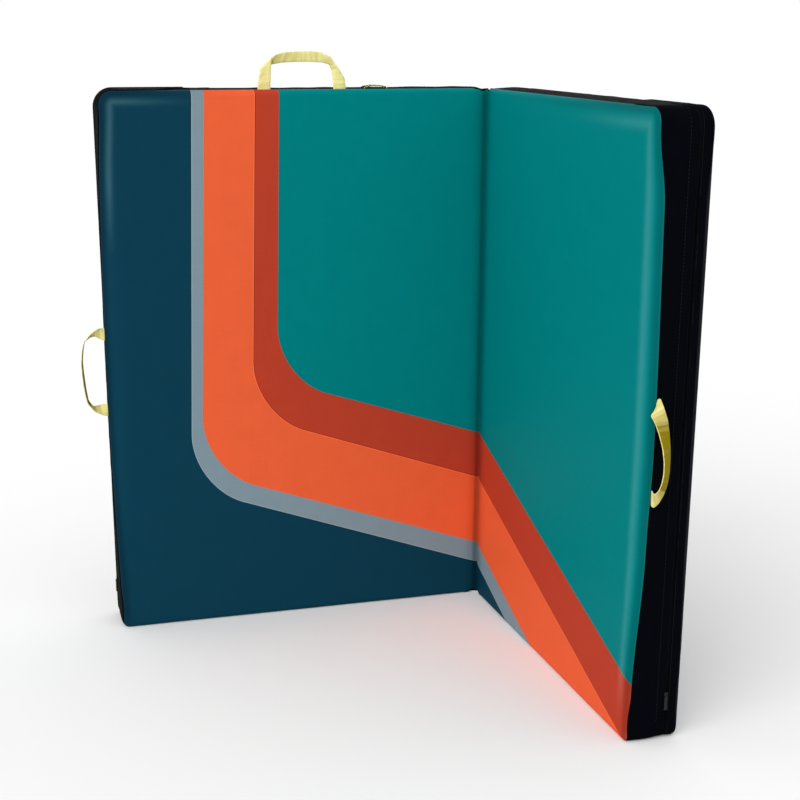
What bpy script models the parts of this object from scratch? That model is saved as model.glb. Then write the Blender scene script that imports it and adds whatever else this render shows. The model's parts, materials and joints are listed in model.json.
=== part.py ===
"""Bouldering crash pad of two hinged foam halves, standing on edge and opened like a book.

Both halves are modelled side by side, each with the fold on its own Z axis, its landing side
facing -Y and its ground side facing +Y. The strap half lies towards -X and stays. The plain half
lies towards +X and is swung round the fold to the angle at which the pad stands.
Metres, +Z up. The origin is the middle of the strap half's lower wall, on which the pad stands.
"""

import math

import bmesh
import bpy
from mathutils import Matrix, Vector

MM = 0.001

# Driving sizes of the whole pad
PANEL_WIDTH = 762 * MM
PANEL_HEIGHT = 1067 * MM
PAD_THICKNESS = 102 * MM
OPEN_ANGLE = math.radians(90)
FABRIC = 1.2 * MM
SEWN_GAP = 0.3 * MM
OVERRUN = 2 * MM

# Form of the stuffed cover
FOLD_CLEARANCE = 0.75 * MM
CROWN = 5 * MM
CROWN_REACH = 190 * MM
LANDING_ROLL = 13 * MM
LANDING_HEM = 2.5 * MM
GROUND_ROLL = 8 * MM
GROUND_HEM = 2 * MM
OUTER_CORNER = 50 * MM
FOLD_CORNER = 18 * MM
HINGE_REACH = 14 * MM
SIDE_BOW = 9 * MM
SIDE_BOW_SHARPNESS = 8
CROWN_SHARES = (0.4, 1.0)
CORNER_STEPS = 5
SIDE_STEPS = 8
FLAT_STEPS = 4
ROLL_STEPS = 3

FACE_DEPTH = FOLD_CLEARANCE + CROWN
SEAM_DEPTH = FACE_DEPTH + LANDING_ROLL + LANDING_HEM
GROUND_DEPTH = FOLD_CLEARANCE + PAD_THICKNESS
GROUND_SEAM_DEPTH = GROUND_DEPTH - GROUND_ROLL - GROUND_HEM
MID_DEPTH = (FOLD_CLEARANCE + GROUND_DEPTH) / 2
MID_HEIGHT = PANEL_HEIGHT / 2
MID_WIDTH = PANEL_WIDTH / 2
LINING = FABRIC + SEWN_GAP

# Foam slabs, from the landing side to the ground side
LANDING_FOAM = 25 * MM
BASE_FOAM = 13 * MM
CORE_FRONT = FACE_DEPTH + LINING + LANDING_FOAM
CORE_BACK = GROUND_DEPTH - LINING - BASE_FOAM

# Zipped end of the gusset
ZIP_DEPTH = 73 * MM
ZIP_WIDTH = 8 * MM
DIAGONAL_FRONT_FROM_EDGE = 114 * MM
DIAGONAL_BACK_FROM_EDGE = 222 * MM
COIL_WIDTH = 4 * MM
COIL_HEIGHT = 1.2 * MM
FLAP_WIDTH = 14 * MM
FLAP_LIFT = 0.4 * MM
SLIDER_LENGTH = 12 * MM
SLIDER_WIDTH = 7.5 * MM
SLIDER_THICKNESS = 2.4 * MM
SLIDER_HEIGHT = 75 * MM
PULL_LENGTH = 26 * MM
PULL_WIDTH = 6 * MM
PULL_THICKNESS = 1.4 * MM
FLAP_EDGE_DEPTH = ZIP_DEPTH - SLIDER_WIDTH / 2 - SEWN_GAP
FLAT_FROM_DEPTH = FLAP_EDGE_DEPTH - FLAP_WIDTH - SEWN_GAP

# Webbing, handles and the sewn tab
WEBBING_WIDTH = 25 * MM
WEBBING = 1.6 * MM
PIVOT_GAP = 0.82 * MM
HANDLE_SPAN = 150 * MM
HANDLE_STEPS = 20
HANDLE_SIDE_POWER = 0.5
HANDLE_RISE_POWER = 0.55
SIDE_HANDLE_RISE = 48 * MM
SIDE_HANDLE_HEIGHT = 540 * MM
SIDE_HANDLE_TWIST = math.radians(80)
PLAIN_HANDLE_LEAN = math.radians(18)
STRAP_HANDLE_LEAN = math.radians(4)
TOP_HANDLE_RISE = 50 * MM
TOP_HANDLE_FROM_FOLD = 375 * MM
TOP_HANDLE_TWIST = math.radians(25)
TAB_FROM_FOLD = 229 * MM
TAB_WIDTH = 44 * MM
TAB_RISE = 4.5 * MM

# Carrying harness on the ground side of the strap half
PATCH_WIDTH = 60 * MM
PATCH_HEIGHT = 45 * MM
STRAP_TOP_SPREAD = 75 * MM
STRAP_FOOT_SPREAD = 150 * MM
STRAP_TOP_HEIGHT = 850 * MM
LOCK_TOP_HEIGHT = 440 * MM
STRAP_FOOT_HEIGHT = 290 * MM
STRAP_PAD_WIDTH = 68 * MM
STRAP_PAD_FOOT_WIDTH = 42 * MM
STRAP_PAD = 9 * MM
STRAP_BOW = 42 * MM
STRAP_STEPS = 12
LOCK_SIDE_SHARE = 0.55
LOCK_WIDTH = 34 * MM
LOCK_HEIGHT = 24 * MM
LOCK_THICKNESS = 5 * MM
LOCK_BAR = 4 * MM
BELT_WIDTH = 38 * MM
BELT_SPREAD = 230 * MM
BELT_HEIGHT = 205 * MM
BELT_BOW = 16 * MM
BELT_RISE_SHARE = 0.7
BELT_STEPS = 10
BUCKLE_LENGTH = 46 * MM
BUCKLE_WIDTH = 48 * MM
BUCKLE_THICKNESS = 13 * MM
BUCKLE_WALL = 2.4 * MM
BUCKLE_PLAY = 0.5 * MM
BUCKLE_BAR = 8 * MM
PRONG_LENGTH = 28 * MM
PRONG_WIDTH = 8 * MM

# Closure straps that hold the folded pad shut
CLOSURE_FROM_EDGE = 72 * MM
CLOSURE_HEIGHTS = (880 * MM, 520 * MM)
CLOSURE_LENGTH = 210 * MM
CLOSURE_TAB = 60 * MM
SNAP_LENGTH = 40 * MM
SNAP_WIDTH = 34 * MM
SNAP_THICKNESS = 9 * MM

# Everything on the ground side lies this deep, on the patches
PATCH_DEPTH = GROUND_DEPTH + SEWN_GAP
ON_PATCH_DEPTH = PATCH_DEPTH + FABRIC + SEWN_GAP

UP = Vector((0, 0, 1))
BACK = Vector((0, 1, 0))
SMOOTH_BELOW = math.radians(40)

COLOURS = {
    "landing_navy": ((0.006, 0.042, 0.072), 0.62, 0.0),
    "landing_teal": ((0.0, 0.188, 0.176), 0.62, 0.0),
    "ground_fabric": ((0.006, 0.007, 0.012), 0.6, 0.0),
    "closed_cell": ((0.06, 0.06, 0.065), 0.9, 0.0),
    "open_cell": ((0.62, 0.58, 0.42), 0.95, 0.0),
    "yellow_webbing": ((0.83, 0.72, 0.21), 0.7, 0.0),
    "black_webbing": ((0.01, 0.01, 0.012), 0.75, 0.0),
    "black_plastic": ((0.012, 0.012, 0.013), 0.4, 0.0),
    "zip_metal": ((0.05, 0.05, 0.055), 0.35, 0.9),
}


def clear_scene():
    """Removes every object that the starting scene holds."""
    for obj in list(bpy.data.objects):
        bpy.data.objects.remove(obj, do_unlink=True)


def collection_named(name):
    """Makes a collection and links it to the scene."""
    made = bpy.data.collections.new(name)
    bpy.context.scene.collection.children.link(made)
    return made


def material_named(name):
    """Gives the Principled material of this name, made from the colour table the first time."""
    made = bpy.data.materials.get(name)
    if made:
        return made
    colour, roughness, metallic = COLOURS[name]
    made = bpy.data.materials.new(name)
    made.use_nodes = True
    shader = made.node_tree.nodes["Principled BSDF"]
    shader.inputs["Base Color"].default_value = (*colour, 1)
    shader.inputs["Roughness"].default_value = roughness
    shader.inputs["Metallic"].default_value = metallic
    return made


class Half:
    """One half of the pad: the way it lies from the fold, its empty on the fold, and its name."""

    def __init__(self, side, name, turn, parts):
        self.side = side
        self.ending = "_" + name
        self.parts = parts
        self.out = Vector((side, 0, 0))
        self.fold = bpy.data.objects.new("fold" + self.ending, None)
        self.fold.location = (MID_WIDTH, -MID_DEPTH, 0)
        self.fold.rotation_euler = (0, 0, turn)
        parts.objects.link(self.fold)

    def at(self, out, depth, height):
        """A point by its distance out from the fold, its depth behind the fold plane and height."""
        return Vector((self.side * out, depth, height))

    def add(self, name, mesh, material, pivot=None):
        """Makes the mesh a named object of this half, with its origin on its pivot if it moves."""
        obj = bpy.data.objects.new(name + self.ending, mesh)
        self.parts.objects.link(obj)
        obj.parent = self.fold
        if pivot:
            mesh.transform(Matrix.Translation(-pivot))
            obj.location = pivot
        mesh.materials.append(material_named(material))
        mesh.shade_smooth()
        mesh.set_sharp_from_angle(angle=SMOOTH_BELOW)
        return obj


def mesh_from(bm, name):
    """Writes a closed bmesh to a new mesh, with its faces turned outwards."""
    bmesh.ops.recalc_face_normals(bm, faces=bm.faces)
    mesh = bpy.data.meshes.new(name)
    bm.to_mesh(mesh)
    bm.free()
    return mesh


def skin_rows(bm, rows, closed):
    """Joins rows of points with pairs of triangles, split alike, and gives the rows' vertices."""
    loops = [[bm.verts.new(point) for point in row] for row in rows]
    count = len(loops[0])
    for upper, lower in zip(loops, loops[1:]):
        for i in range(count if closed else count - 1):
            j = (i + 1) % count
            bm.faces.new((upper[i], upper[j], lower[j]))
            bm.faces.new((upper[i], lower[j], lower[i]))
    return loops


def cloth(half, name, rows, material, closed=False):
    """A cloth panel through rows of outer points, thickened inwards. A closed one ends in a flat."""
    bm = bmesh.new()
    loops = skin_rows(bm, rows, closed)
    if closed:
        bm.faces.new(loops[-1])
    bmesh.ops.recalc_face_normals(bm, faces=bm.faces)
    bm.faces.ensure_lookup_table()
    middle = half.at(MID_WIDTH, MID_DEPTH, MID_HEIGHT)
    if (bm.faces[0].calc_center_median() - middle).dot(bm.faces[0].normal) < 0:
        bmesh.ops.reverse_faces(bm, faces=bm.faces)
    mesh = bpy.data.meshes.new(name)
    bm.to_mesh(mesh)
    bm.free()
    panel = half.add(name, mesh, material)
    shell = panel.modifiers.new("fabric", "SOLIDIFY")
    shell.thickness = FABRIC
    shell.offset = -1
    shell.use_even_offset = True


def slab(half, name, rows, material):
    """A closed solid through rows of points, flat at both ends."""
    bm = bmesh.new()
    loops = skin_rows(bm, rows, closed=True)
    bm.faces.new(loops[0])
    bm.faces.new(loops[-1])
    half.add(name, mesh_from(bm, name), material)


def ribbon(half, name, stations, material, pivot=None):
    """A strip of webbing through stations, each a point, half a width and half a thickness."""
    rows = [
        (p - w - t, p + w - t, p + w + t, p - w + t)
        for p, w, t in stations
    ]
    bm = bmesh.new()
    loops = skin_rows(bm, rows, closed=True)
    bm.faces.new(loops[0])
    bm.faces.new(loops[-1])
    return half.add(name, mesh_from(bm, name), material, pivot)


def box(half, name, low, high, material, bevel=0.0, pivot=None):
    """A box between two corners given as (out, depth, height), with its edges rounded."""
    a = half.at(*low)
    b = half.at(*high)
    bm = bmesh.new()
    bmesh.ops.create_cube(bm, size=1)
    size = Vector([abs(x - y) for x, y in zip(a, b)])
    bmesh.ops.scale(bm, vec=size, verts=bm.verts)
    bmesh.ops.translate(bm, vec=(a + b) / 2, verts=bm.verts)
    if bevel:
        bmesh.ops.bevel(bm, geom=bm.edges, offset=bevel, segments=2, profile=0.5, affect="EDGES")
    return half.add(name, mesh_from(bm, name), material, pivot)


def boolean(obj, low, high, half, cutters, operation="DIFFERENCE"):
    """Cuts a box, given by two corners as (out, depth, height), from an object, or joins it on."""
    tool = box(half, obj.name + "_tool", low, high, "black_plastic")
    half.parts.objects.unlink(tool)
    cutters.objects.link(tool)
    tool.hide_render = True
    tool.display_type = "WIRE"
    change = obj.modifiers.new("shape", "BOOLEAN")
    change.operation = operation
    change.object = tool


def arc(centre, radius, start, end):
    """Points of a corner arc in the (out, height) plane, both ends included."""
    points = []
    for i in range(CORNER_STEPS + 1):
        angle = start + (end - start) * i / CORNER_STEPS
        points.append((centre[0] + radius * math.cos(angle), centre[1] + radius * math.sin(angle)))
    return points


def between(start, end, steps):
    """Evenly spaced points between two ends, neither end included."""
    return [tuple(a + (b - a) * i / steps for a, b in zip(start, end)) for i in range(1, steps)]


def bow_at(depth):
    """How far the outer side swells at mid height: most at the landing seam, none by the zip."""
    share = (FLAT_FROM_DEPTH - depth) / (FLAT_FROM_DEPTH - SEAM_DEPTH)
    return SIDE_BOW * min(1.0, max(0.0, share))


def bowed(point, bow, edge):
    """Moves a point of the outline outwards by the swell at its height, if it is on the outer side."""
    out, height = point
    swell = max(0.0, 1 - ((height - MID_HEIGHT) / (MID_HEIGHT - OUTER_CORNER)) ** 2)
    return (out + bow * swell * min(1.0, out / edge) ** SIDE_BOW_SHARPNESS, height)


def corner_radius(full, inset):
    """The radius of a corner of an outline set in by this much."""
    return max(full - inset, FOLD_CORNER - LANDING_ROLL)


def end_outline(inset, bow, out_start):
    """The outline from a point on the top edge, over the outer side, to one on the bottom edge."""
    radius = corner_radius(OUTER_CORNER, inset)
    edge = PANEL_WIDTH - inset
    top = PANEL_HEIGHT - inset
    points = [(out_start, top)]
    points += between((out_start, top), (edge - radius, top), FLAT_STEPS)
    points += arc((edge - radius, top - radius), radius, math.pi / 2, 0)
    points += between((edge, top - radius), (edge, inset + radius), SIDE_STEPS)
    points += arc((edge - radius, inset + radius), radius, 0, -math.pi / 2)
    points += between((edge - radius, inset), (out_start, inset), FLAT_STEPS)
    points.append((out_start, inset))
    return [bowed(point, bow, edge) for point in points]


def fold_outline(inset, out_start):
    """The outline from a point on the bottom edge, round the fold side, to one on the top edge."""
    radius = corner_radius(FOLD_CORNER, inset)
    edge = FOLD_CLEARANCE + inset
    top = PANEL_HEIGHT - inset
    points = [(out_start, inset)]
    points += between((out_start, inset), (edge + radius, inset), FLAT_STEPS)
    points += arc((edge + radius, inset + radius), radius, -math.pi / 2, -math.pi)
    points += between((edge, inset + radius), (edge, top - radius), SIDE_STEPS)
    points += arc((edge + radius, top - radius), radius, math.pi, math.pi / 2)
    points += between((edge + radius, top), (out_start, top), FLAT_STEPS)
    points.append((out_start, top))
    return points


def at_depth(half, outline, depth):
    """Places a row of (out, height) points at one depth."""
    return [half.at(out, depth, height) for out, height in outline]


def level(half, inset, depth):
    """The whole outline of a half at one depth, set in by inset."""
    outline = end_outline(inset, bow_at(depth), MID_WIDTH) + fold_outline(inset, MID_WIDTH)[1:-1]
    return at_depth(half, outline, depth)


def landing_levels(half, lining):
    """Levels of the landing side, from the hem over the roll to the crown, set in by the lining."""
    radius = LANDING_ROLL - lining
    centre = FACE_DEPTH + LANDING_ROLL
    levels = []
    for i in range(ROLL_STEPS + 1):
        angle = math.pi / 2 * i / ROLL_STEPS
        inset = lining + radius * (1 - math.cos(angle))
        levels.append(level(half, inset, centre - radius * math.sin(angle)))
    for share in CROWN_SHARES:
        inset = LANDING_ROLL + (CROWN_REACH - LANDING_ROLL) * share
        depth = FACE_DEPTH + lining - CROWN * math.sin(math.pi / 2 * share)
        levels.append(level(half, inset, depth))
    return levels


def ground_levels(half, lining):
    """Levels of the ground side, from its hem over the roll to the flat back."""
    radius = GROUND_ROLL - lining
    centre = GROUND_DEPTH - GROUND_ROLL
    levels = []
    for i in range(ROLL_STEPS + 1):
        angle = math.pi / 2 * i / ROLL_STEPS
        inset = lining + radius * (1 - math.cos(angle))
        levels.append(level(half, inset, centre + radius * math.sin(angle)))
    return levels


def covers(half, material):
    """The crowned landing fabric and the flat ground fabric, each hemmed at its seam."""
    rows = [level(half, 0.0, SEAM_DEPTH)] + landing_levels(half, 0.0)
    cloth(half, "landing_cover", rows, material, closed=True)
    rows = [level(half, 0.0, GROUND_SEAM_DEPTH)] + ground_levels(half, 0.0)
    cloth(half, "ground_cover", rows, "ground_fabric", closed=True)


def diagonal_out(depth):
    """How far from the fold the slanting seam of the end gusset lies at this depth."""
    share = (depth - SEAM_DEPTH) / (GROUND_SEAM_DEPTH - SEAM_DEPTH)
    lean = DIAGONAL_BACK_FROM_EDGE - DIAGONAL_FRONT_FROM_EDGE
    return PANEL_WIDTH - DIAGONAL_FRONT_FROM_EDGE - lean * share


def gussets(half):
    """The side walls: the main gusset round the fold side, and the zipped end in two strips."""
    front = SEAM_DEPTH + SEWN_GAP
    back = GROUND_SEAM_DEPTH - SEWN_GAP
    zip_front = ZIP_DEPTH - ZIP_WIDTH / 2
    zip_back = ZIP_DEPTH + ZIP_WIDTH / 2

    def end_strip(name, depths, material):
        rows = [
            at_depth(half, end_outline(0.0, bow_at(d), diagonal_out(d) + 2 * SEWN_GAP), d)
            for d in depths
        ]
        cloth(half, name, rows, material)

    rows = [at_depth(half, fold_outline(0.0, diagonal_out(d)), d) for d in (front, back)]
    cloth(half, "main_gusset", rows, "ground_fabric")
    depths = (front, CORE_FRONT, FLAT_FROM_DEPTH, zip_front - SEWN_GAP)
    end_strip("end_gusset_front", depths, "ground_fabric")
    end_strip("zip_tape", (zip_front, zip_back), "black_webbing")
    end_strip("end_gusset_back", (zip_back + SEWN_GAP, back), "ground_fabric")


def foams(half):
    """Closed-cell landing slab, open-cell core and closed-cell base, stacked inside the cover."""
    landing = landing_levels(half, LINING)[::-1]
    ground = ground_levels(half, LINING)
    rows = landing + [level(half, LINING, CORE_FRONT - SEWN_GAP)]
    slab(half, "landing_foam", rows, "closed_cell")
    rows = [level(half, LINING, d) for d in (CORE_FRONT, FLAT_FROM_DEPTH, CORE_BACK)]
    slab(half, "core_foam", rows, "open_cell")
    rows = [level(half, LINING, CORE_BACK + SEWN_GAP)] + ground
    slab(half, "base_foam", rows, "closed_cell")


def hinge_leaf(half):
    """One leaf of the fabric hinge: it stands from the cover's roll up to the fold line."""
    foot = FOLD_CORNER + LANDING_ROLL
    low = (SEWN_GAP / 2, SEWN_GAP / 2, foot)
    high = (SEWN_GAP / 2 + FABRIC, HINGE_REACH, PANEL_HEIGHT - foot)
    box(half, "hinge_leaf", low, high, "landing_navy")


def zip_run(half, width, depth, thickness, lift):
    """Stations of a strip laid along the zip: up the outer wall and over the top corner."""
    rise = lift + thickness / 2
    radius = OUTER_CORNER + rise
    edge = PANEL_WIDTH + rise
    top = PANEL_HEIGHT + rise
    route = [(edge, OUTER_CORNER + OVERRUN), (edge, top - radius)]
    normals = [0.0, 0.0]
    for i in range(1, CORNER_STEPS + 1):
        angle = math.pi / 2 * i / CORNER_STEPS
        route.append((
            edge - radius + radius * math.cos(angle),
            top - radius + radius * math.sin(angle),
        ))
        normals.append(angle)
    route.append((diagonal_out(depth - width / 2) + OVERRUN, top))
    normals.append(math.pi / 2)
    stations = []
    for (out, height), angle in zip(route, normals):
        normal = half.out * math.cos(angle) + UP * math.sin(angle)
        stations.append((half.at(out, depth, height), BACK * width / 2, normal * thickness / 2))
    return stations


def zip_parts(half):
    """Coil, storm flap, slider and pull of the zip that closes the end gusset."""
    stations = zip_run(half, COIL_WIDTH, ZIP_DEPTH, COIL_HEIGHT, SEWN_GAP)
    ribbon(half, "zip_coil", stations, "black_plastic")
    stations = zip_run(half, FLAP_WIDTH, FLAP_EDGE_DEPTH - FLAP_WIDTH / 2, FABRIC, FLAP_LIFT)
    ribbon(half, "zip_flap", stations, "ground_fabric")
    inner = PANEL_WIDTH + 2 * SEWN_GAP + COIL_HEIGHT
    outer = inner + SLIDER_THICKNESS
    low = (inner, ZIP_DEPTH - SLIDER_WIDTH / 2, SLIDER_HEIGHT)
    high = (outer, ZIP_DEPTH + SLIDER_WIDTH / 2, SLIDER_HEIGHT + SLIDER_LENGTH)
    pivot = half.at(inner, ZIP_DEPTH, SLIDER_HEIGHT)
    box(half, "zip_slider", low, high, "zip_metal", bevel=SLIDER_THICKNESS / 4, pivot=pivot)
    eye = SLIDER_HEIGHT + SLIDER_LENGTH / 2
    middle = outer + SEWN_GAP + PULL_THICKNESS / 2
    low = (middle - PULL_THICKNESS / 2, ZIP_DEPTH - PULL_WIDTH / 2, eye - PULL_LENGTH)
    high = (middle + PULL_THICKNESS / 2, ZIP_DEPTH + PULL_WIDTH / 2, eye)
    pivot = half.at(middle, ZIP_DEPTH, eye)
    box(half, "zip_pull", low, high, "zip_metal", bevel=PULL_THICKNESS / 4, pivot=pivot)


def handle(half, name, pivot, seam_way, out_way, rise, twist, lean):
    """A webbing handle, both ends sewn in the seam. Its grip is turned by twist about its run.

    The middle line is a rounded square arch: cosine and sine of one angle, each to a small power.
    """
    turned = Matrix.Rotation(lean, 3, seam_way)
    out_way = turned @ out_way
    side_way = out_way.cross(seam_way)
    points = []
    for i in range(HANDLE_STEPS + 1):
        angle = math.pi * i / HANDLE_STEPS
        along = -math.copysign(abs(math.cos(angle)) ** HANDLE_SIDE_POWER, math.cos(angle))
        height = max(0.0, math.sin(angle)) ** HANDLE_RISE_POWER if 0 < i < HANDLE_STEPS else 0.0
        points.append(pivot + seam_way * along * HANDLE_SPAN / 2 + out_way * height * rise)
    stations = []
    for i, point in enumerate(points):
        before = points[max(i - 1, 0)]
        after = points[min(i + 1, HANDLE_STEPS)]
        tangent = (after - before).normalized()
        if i in (0, HANDLE_STEPS):
            tangent = out_way if i == 0 else -out_way
        in_plane = tangent.cross(side_way).normalized()
        share = math.sin(math.pi * i / HANDLE_STEPS) ** 2
        turn = twist * share * share * (3 - 2 * share)
        width_way = in_plane * math.cos(turn) + side_way * math.sin(turn)
        thick_way = tangent.cross(width_way)
        stations.append((point, width_way * WEBBING_WIDTH / 2, thick_way * WEBBING / 2))
    ribbon(half, name, stations, "yellow_webbing", pivot)


def top_handle(half):
    """The haul handle on the top edge, and the short folded tab sewn beside it."""
    pivot = half.at(TOP_HANDLE_FROM_FOLD, SEAM_DEPTH, PANEL_HEIGHT + PIVOT_GAP)
    handle(half, "top_handle", pivot, half.out, UP, TOP_HANDLE_RISE, TOP_HANDLE_TWIST, 0.0)
    foot = PANEL_HEIGHT + SEWN_GAP
    low = (TAB_FROM_FOLD - TAB_WIDTH / 2, SEAM_DEPTH + OVERRUN, foot)
    high = (TAB_FROM_FOLD + TAB_WIDTH / 2, SEAM_DEPTH + OVERRUN + WEBBING_WIDTH, foot + TAB_RISE)
    box(half, "edge_tab", low, high, "black_webbing", bevel=TAB_RISE / 3)


def side_handle(half, lean):
    """The carrying handle on the outer side, leaning towards the ground side."""
    foot = SIDE_HANDLE_HEIGHT + (HANDLE_SPAN - WEBBING_WIDTH) / 2
    wall, _ = bowed((PANEL_WIDTH, foot), SIDE_BOW, PANEL_WIDTH)
    pivot = half.at(wall + PIVOT_GAP, SEAM_DEPTH, SIDE_HANDLE_HEIGHT)
    twist = SIDE_HANDLE_TWIST
    handle(half, "side_handle", pivot, UP, half.out, SIDE_HANDLE_RISE, twist, half.side * lean)


def patch(half, name, out, height, wide, tall):
    """A reinforcing patch sewn flat on the ground cover under a strap's end."""
    low = (out - wide / 2, PATCH_DEPTH, height - tall / 2)
    high = (out + wide / 2, PATCH_DEPTH + FABRIC, height + tall / 2)
    box(half, name, low, high, "black_webbing")


def strap_outs(way):
    """How far from the fold a shoulder strap's top, lock and foot lie. way is -1 or 1."""
    top_out = MID_WIDTH + way * STRAP_TOP_SPREAD
    foot_out = MID_WIDTH + way * STRAP_FOOT_SPREAD
    return top_out, top_out + (foot_out - top_out) * LOCK_SIDE_SHARE, foot_out


def shoulder_strap(half, way, label):
    """A padded shoulder strap with its ladder lock and lower webbing."""
    top_out, lock_out, foot_out = strap_outs(way)
    stations = []
    for i in range(STRAP_STEPS + 1):
        share = i / STRAP_STEPS
        out = top_out + (lock_out - top_out) * share * share
        depth = ON_PATCH_DEPTH + STRAP_PAD / 2 + STRAP_BOW * math.sin(math.pi * share) ** 2
        height = STRAP_TOP_HEIGHT + (LOCK_TOP_HEIGHT - STRAP_TOP_HEIGHT) * share
        width = STRAP_PAD_WIDTH + (STRAP_PAD_FOOT_WIDTH - STRAP_PAD_WIDTH) * share ** 3
        stations.append((half.at(out, depth, height), half.out * width / 2, BACK * STRAP_PAD / 2))
    pad = ribbon(half, "shoulder_pad_" + label, stations, "ground_fabric")
    rounding = pad.modifiers.new("rounding", "BEVEL")
    rounding.width = STRAP_PAD / 4
    rounding.segments = 2
    webbing_depth = ON_PATCH_DEPTH + WEBBING / 2
    stations = []
    for out, height in ((lock_out, LOCK_TOP_HEIGHT - SEWN_GAP), (foot_out, STRAP_FOOT_HEIGHT)):
        point = half.at(out, webbing_depth, height)
        stations.append((point, half.out * WEBBING_WIDTH / 2, BACK * WEBBING / 2))
    ribbon(half, "strap_webbing_" + label, stations, "black_webbing")
    lock_front = webbing_depth + WEBBING / 2 + SEWN_GAP
    lock_top = LOCK_TOP_HEIGHT - SEWN_GAP
    low = (lock_out - LOCK_WIDTH / 2, lock_front, lock_top - LOCK_HEIGHT)
    high = (lock_out + LOCK_WIDTH / 2, lock_front + LOCK_THICKNESS, lock_top)
    return box(half, "ladder_lock_" + label, low, high, "black_plastic", bevel=LOCK_THICKNESS / 5)


def cut_ladder_lock(lock, half, way, cutters):
    """Cuts the two webbing slots of a ladder lock, between its three bars."""
    lock_out = strap_outs(way)[1]
    lock_top = LOCK_TOP_HEIGHT - SEWN_GAP
    slot = (LOCK_HEIGHT - 3 * LOCK_BAR) / 2
    for i in range(2):
        slot_top = lock_top - LOCK_BAR - i * (slot + LOCK_BAR)
        low = (lock_out - WEBBING_WIDTH / 2 - BUCKLE_PLAY, ON_PATCH_DEPTH, slot_top - slot)
        high = (
            lock_out + WEBBING_WIDTH / 2 + BUCKLE_PLAY,
            ON_PATCH_DEPTH + WEBBING + LOCK_THICKNESS + OVERRUN,
            slot_top,
        )
        boolean(lock, low, high, half, cutters)


def waist_belt(half, cutters):
    """Two belt wings, sewn at their outer ends and joined by a side-release buckle."""
    centre = ON_PATCH_DEPTH + WEBBING / 2 + BELT_BOW
    for way, label in ((-1, "near"), (1, "far")):
        outer = way * BELT_SPREAD
        inner = way * (BUCKLE_LENGTH - OVERRUN)
        stations = []
        for i in range(BELT_STEPS + 1):
            share = i / BELT_STEPS
            climb = min(1.0, share / BELT_RISE_SHARE)
            depth = centre - BELT_BOW * (1 + math.cos(math.pi * climb)) / 2
            point = half.at(MID_WIDTH + outer + (inner - outer) * share, depth, BELT_HEIGHT)
            stations.append((point, UP * BELT_WIDTH / 2, BACK * WEBBING / 2))
        ribbon(half, "waist_belt_" + label, stations, "black_webbing")

    def block(out_low, out_high, half_height, half_depth):
        return (
            (MID_WIDTH + out_low, centre - half_depth, BELT_HEIGHT - half_height),
            (MID_WIDTH + out_high, centre + half_depth, BELT_HEIGHT + half_height),
        )

    slot_height = BELT_WIDTH / 2 + BUCKLE_PLAY
    slot_depth = WEBBING / 2 + BUCKLE_PLAY
    mouth_height = BUCKLE_WIDTH / 2 - BUCKLE_WALL
    mouth_depth = BUCKLE_THICKNESS / 2 - BUCKLE_WALL
    mouth_end = -PRONG_LENGTH - BUCKLE_PLAY
    rounding = BUCKLE_WALL / 2
    low, high = block(-BUCKLE_LENGTH, 0.0, BUCKLE_WIDTH / 2, BUCKLE_THICKNESS / 2)
    female = box(half, "waist_buckle_female", low, high, "black_plastic", bevel=rounding)
    boolean(female, *block(mouth_end, OVERRUN, mouth_height, mouth_depth), half, cutters)
    slot_end = mouth_end - BUCKLE_WALL
    cut = block(-BUCKLE_LENGTH - OVERRUN, slot_end, slot_height, slot_depth)
    boolean(female, *cut, half, cutters)
    low, high = block(BUCKLE_PLAY, BUCKLE_LENGTH, BUCKLE_WIDTH / 2, BUCKLE_THICKNESS / 2)
    pivot = half.at(MID_WIDTH, centre, BELT_HEIGHT)
    male = box(half, "waist_buckle_male", low, high, "black_plastic", bevel=rounding, pivot=pivot)
    cut = block(BUCKLE_BAR, BUCKLE_LENGTH + OVERRUN, slot_height, slot_depth)
    boolean(male, *cut, half, cutters)
    prong_outer = mouth_height - BUCKLE_PLAY
    prong_depth = mouth_depth - BUCKLE_PLAY
    for way in (-1, 1):
        heights = sorted((way * prong_outer, way * (prong_outer - PRONG_WIDTH)))
        low = (MID_WIDTH - PRONG_LENGTH, centre - prong_depth, BELT_HEIGHT + heights[0])
        high = (MID_WIDTH + BUCKLE_WALL, centre + prong_depth, BELT_HEIGHT + heights[1])
        boolean(male, low, high, half, cutters, "UNION")


def closure_straps(half, length, kind):
    """Hanging straps near the outer edge, each with half of a snap buckle at its foot."""
    out = PANEL_WIDTH - CLOSURE_FROM_EDGE
    depth = PATCH_DEPTH + WEBBING / 2
    for number, height in enumerate(CLOSURE_HEIGHTS, start=1):
        patch(half, "closure_patch_%d" % number, out, height, PATCH_HEIGHT, PATCH_HEIGHT)
        top = height - PATCH_HEIGHT / 2 - PIVOT_GAP
        pivot = half.at(out, depth, top)
        stations = []
        for end in (top, top - length):
            point = half.at(out, depth, end)
            stations.append((point, half.out * WEBBING_WIDTH / 2, BACK * WEBBING / 2))
        ribbon(half, "closure_strap_%d" % number, stations, "black_webbing", pivot)
        foot = top - length - SEWN_GAP
        low = (out - SNAP_WIDTH / 2, PATCH_DEPTH, foot - SNAP_LENGTH)
        high = (out + SNAP_WIDTH / 2, PATCH_DEPTH + SNAP_THICKNESS, foot)
        name = "closure_%s_%d" % (kind, number)
        box(half, name, low, high, "black_plastic", bevel=SNAP_THICKNESS / 5, pivot=pivot)


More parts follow.
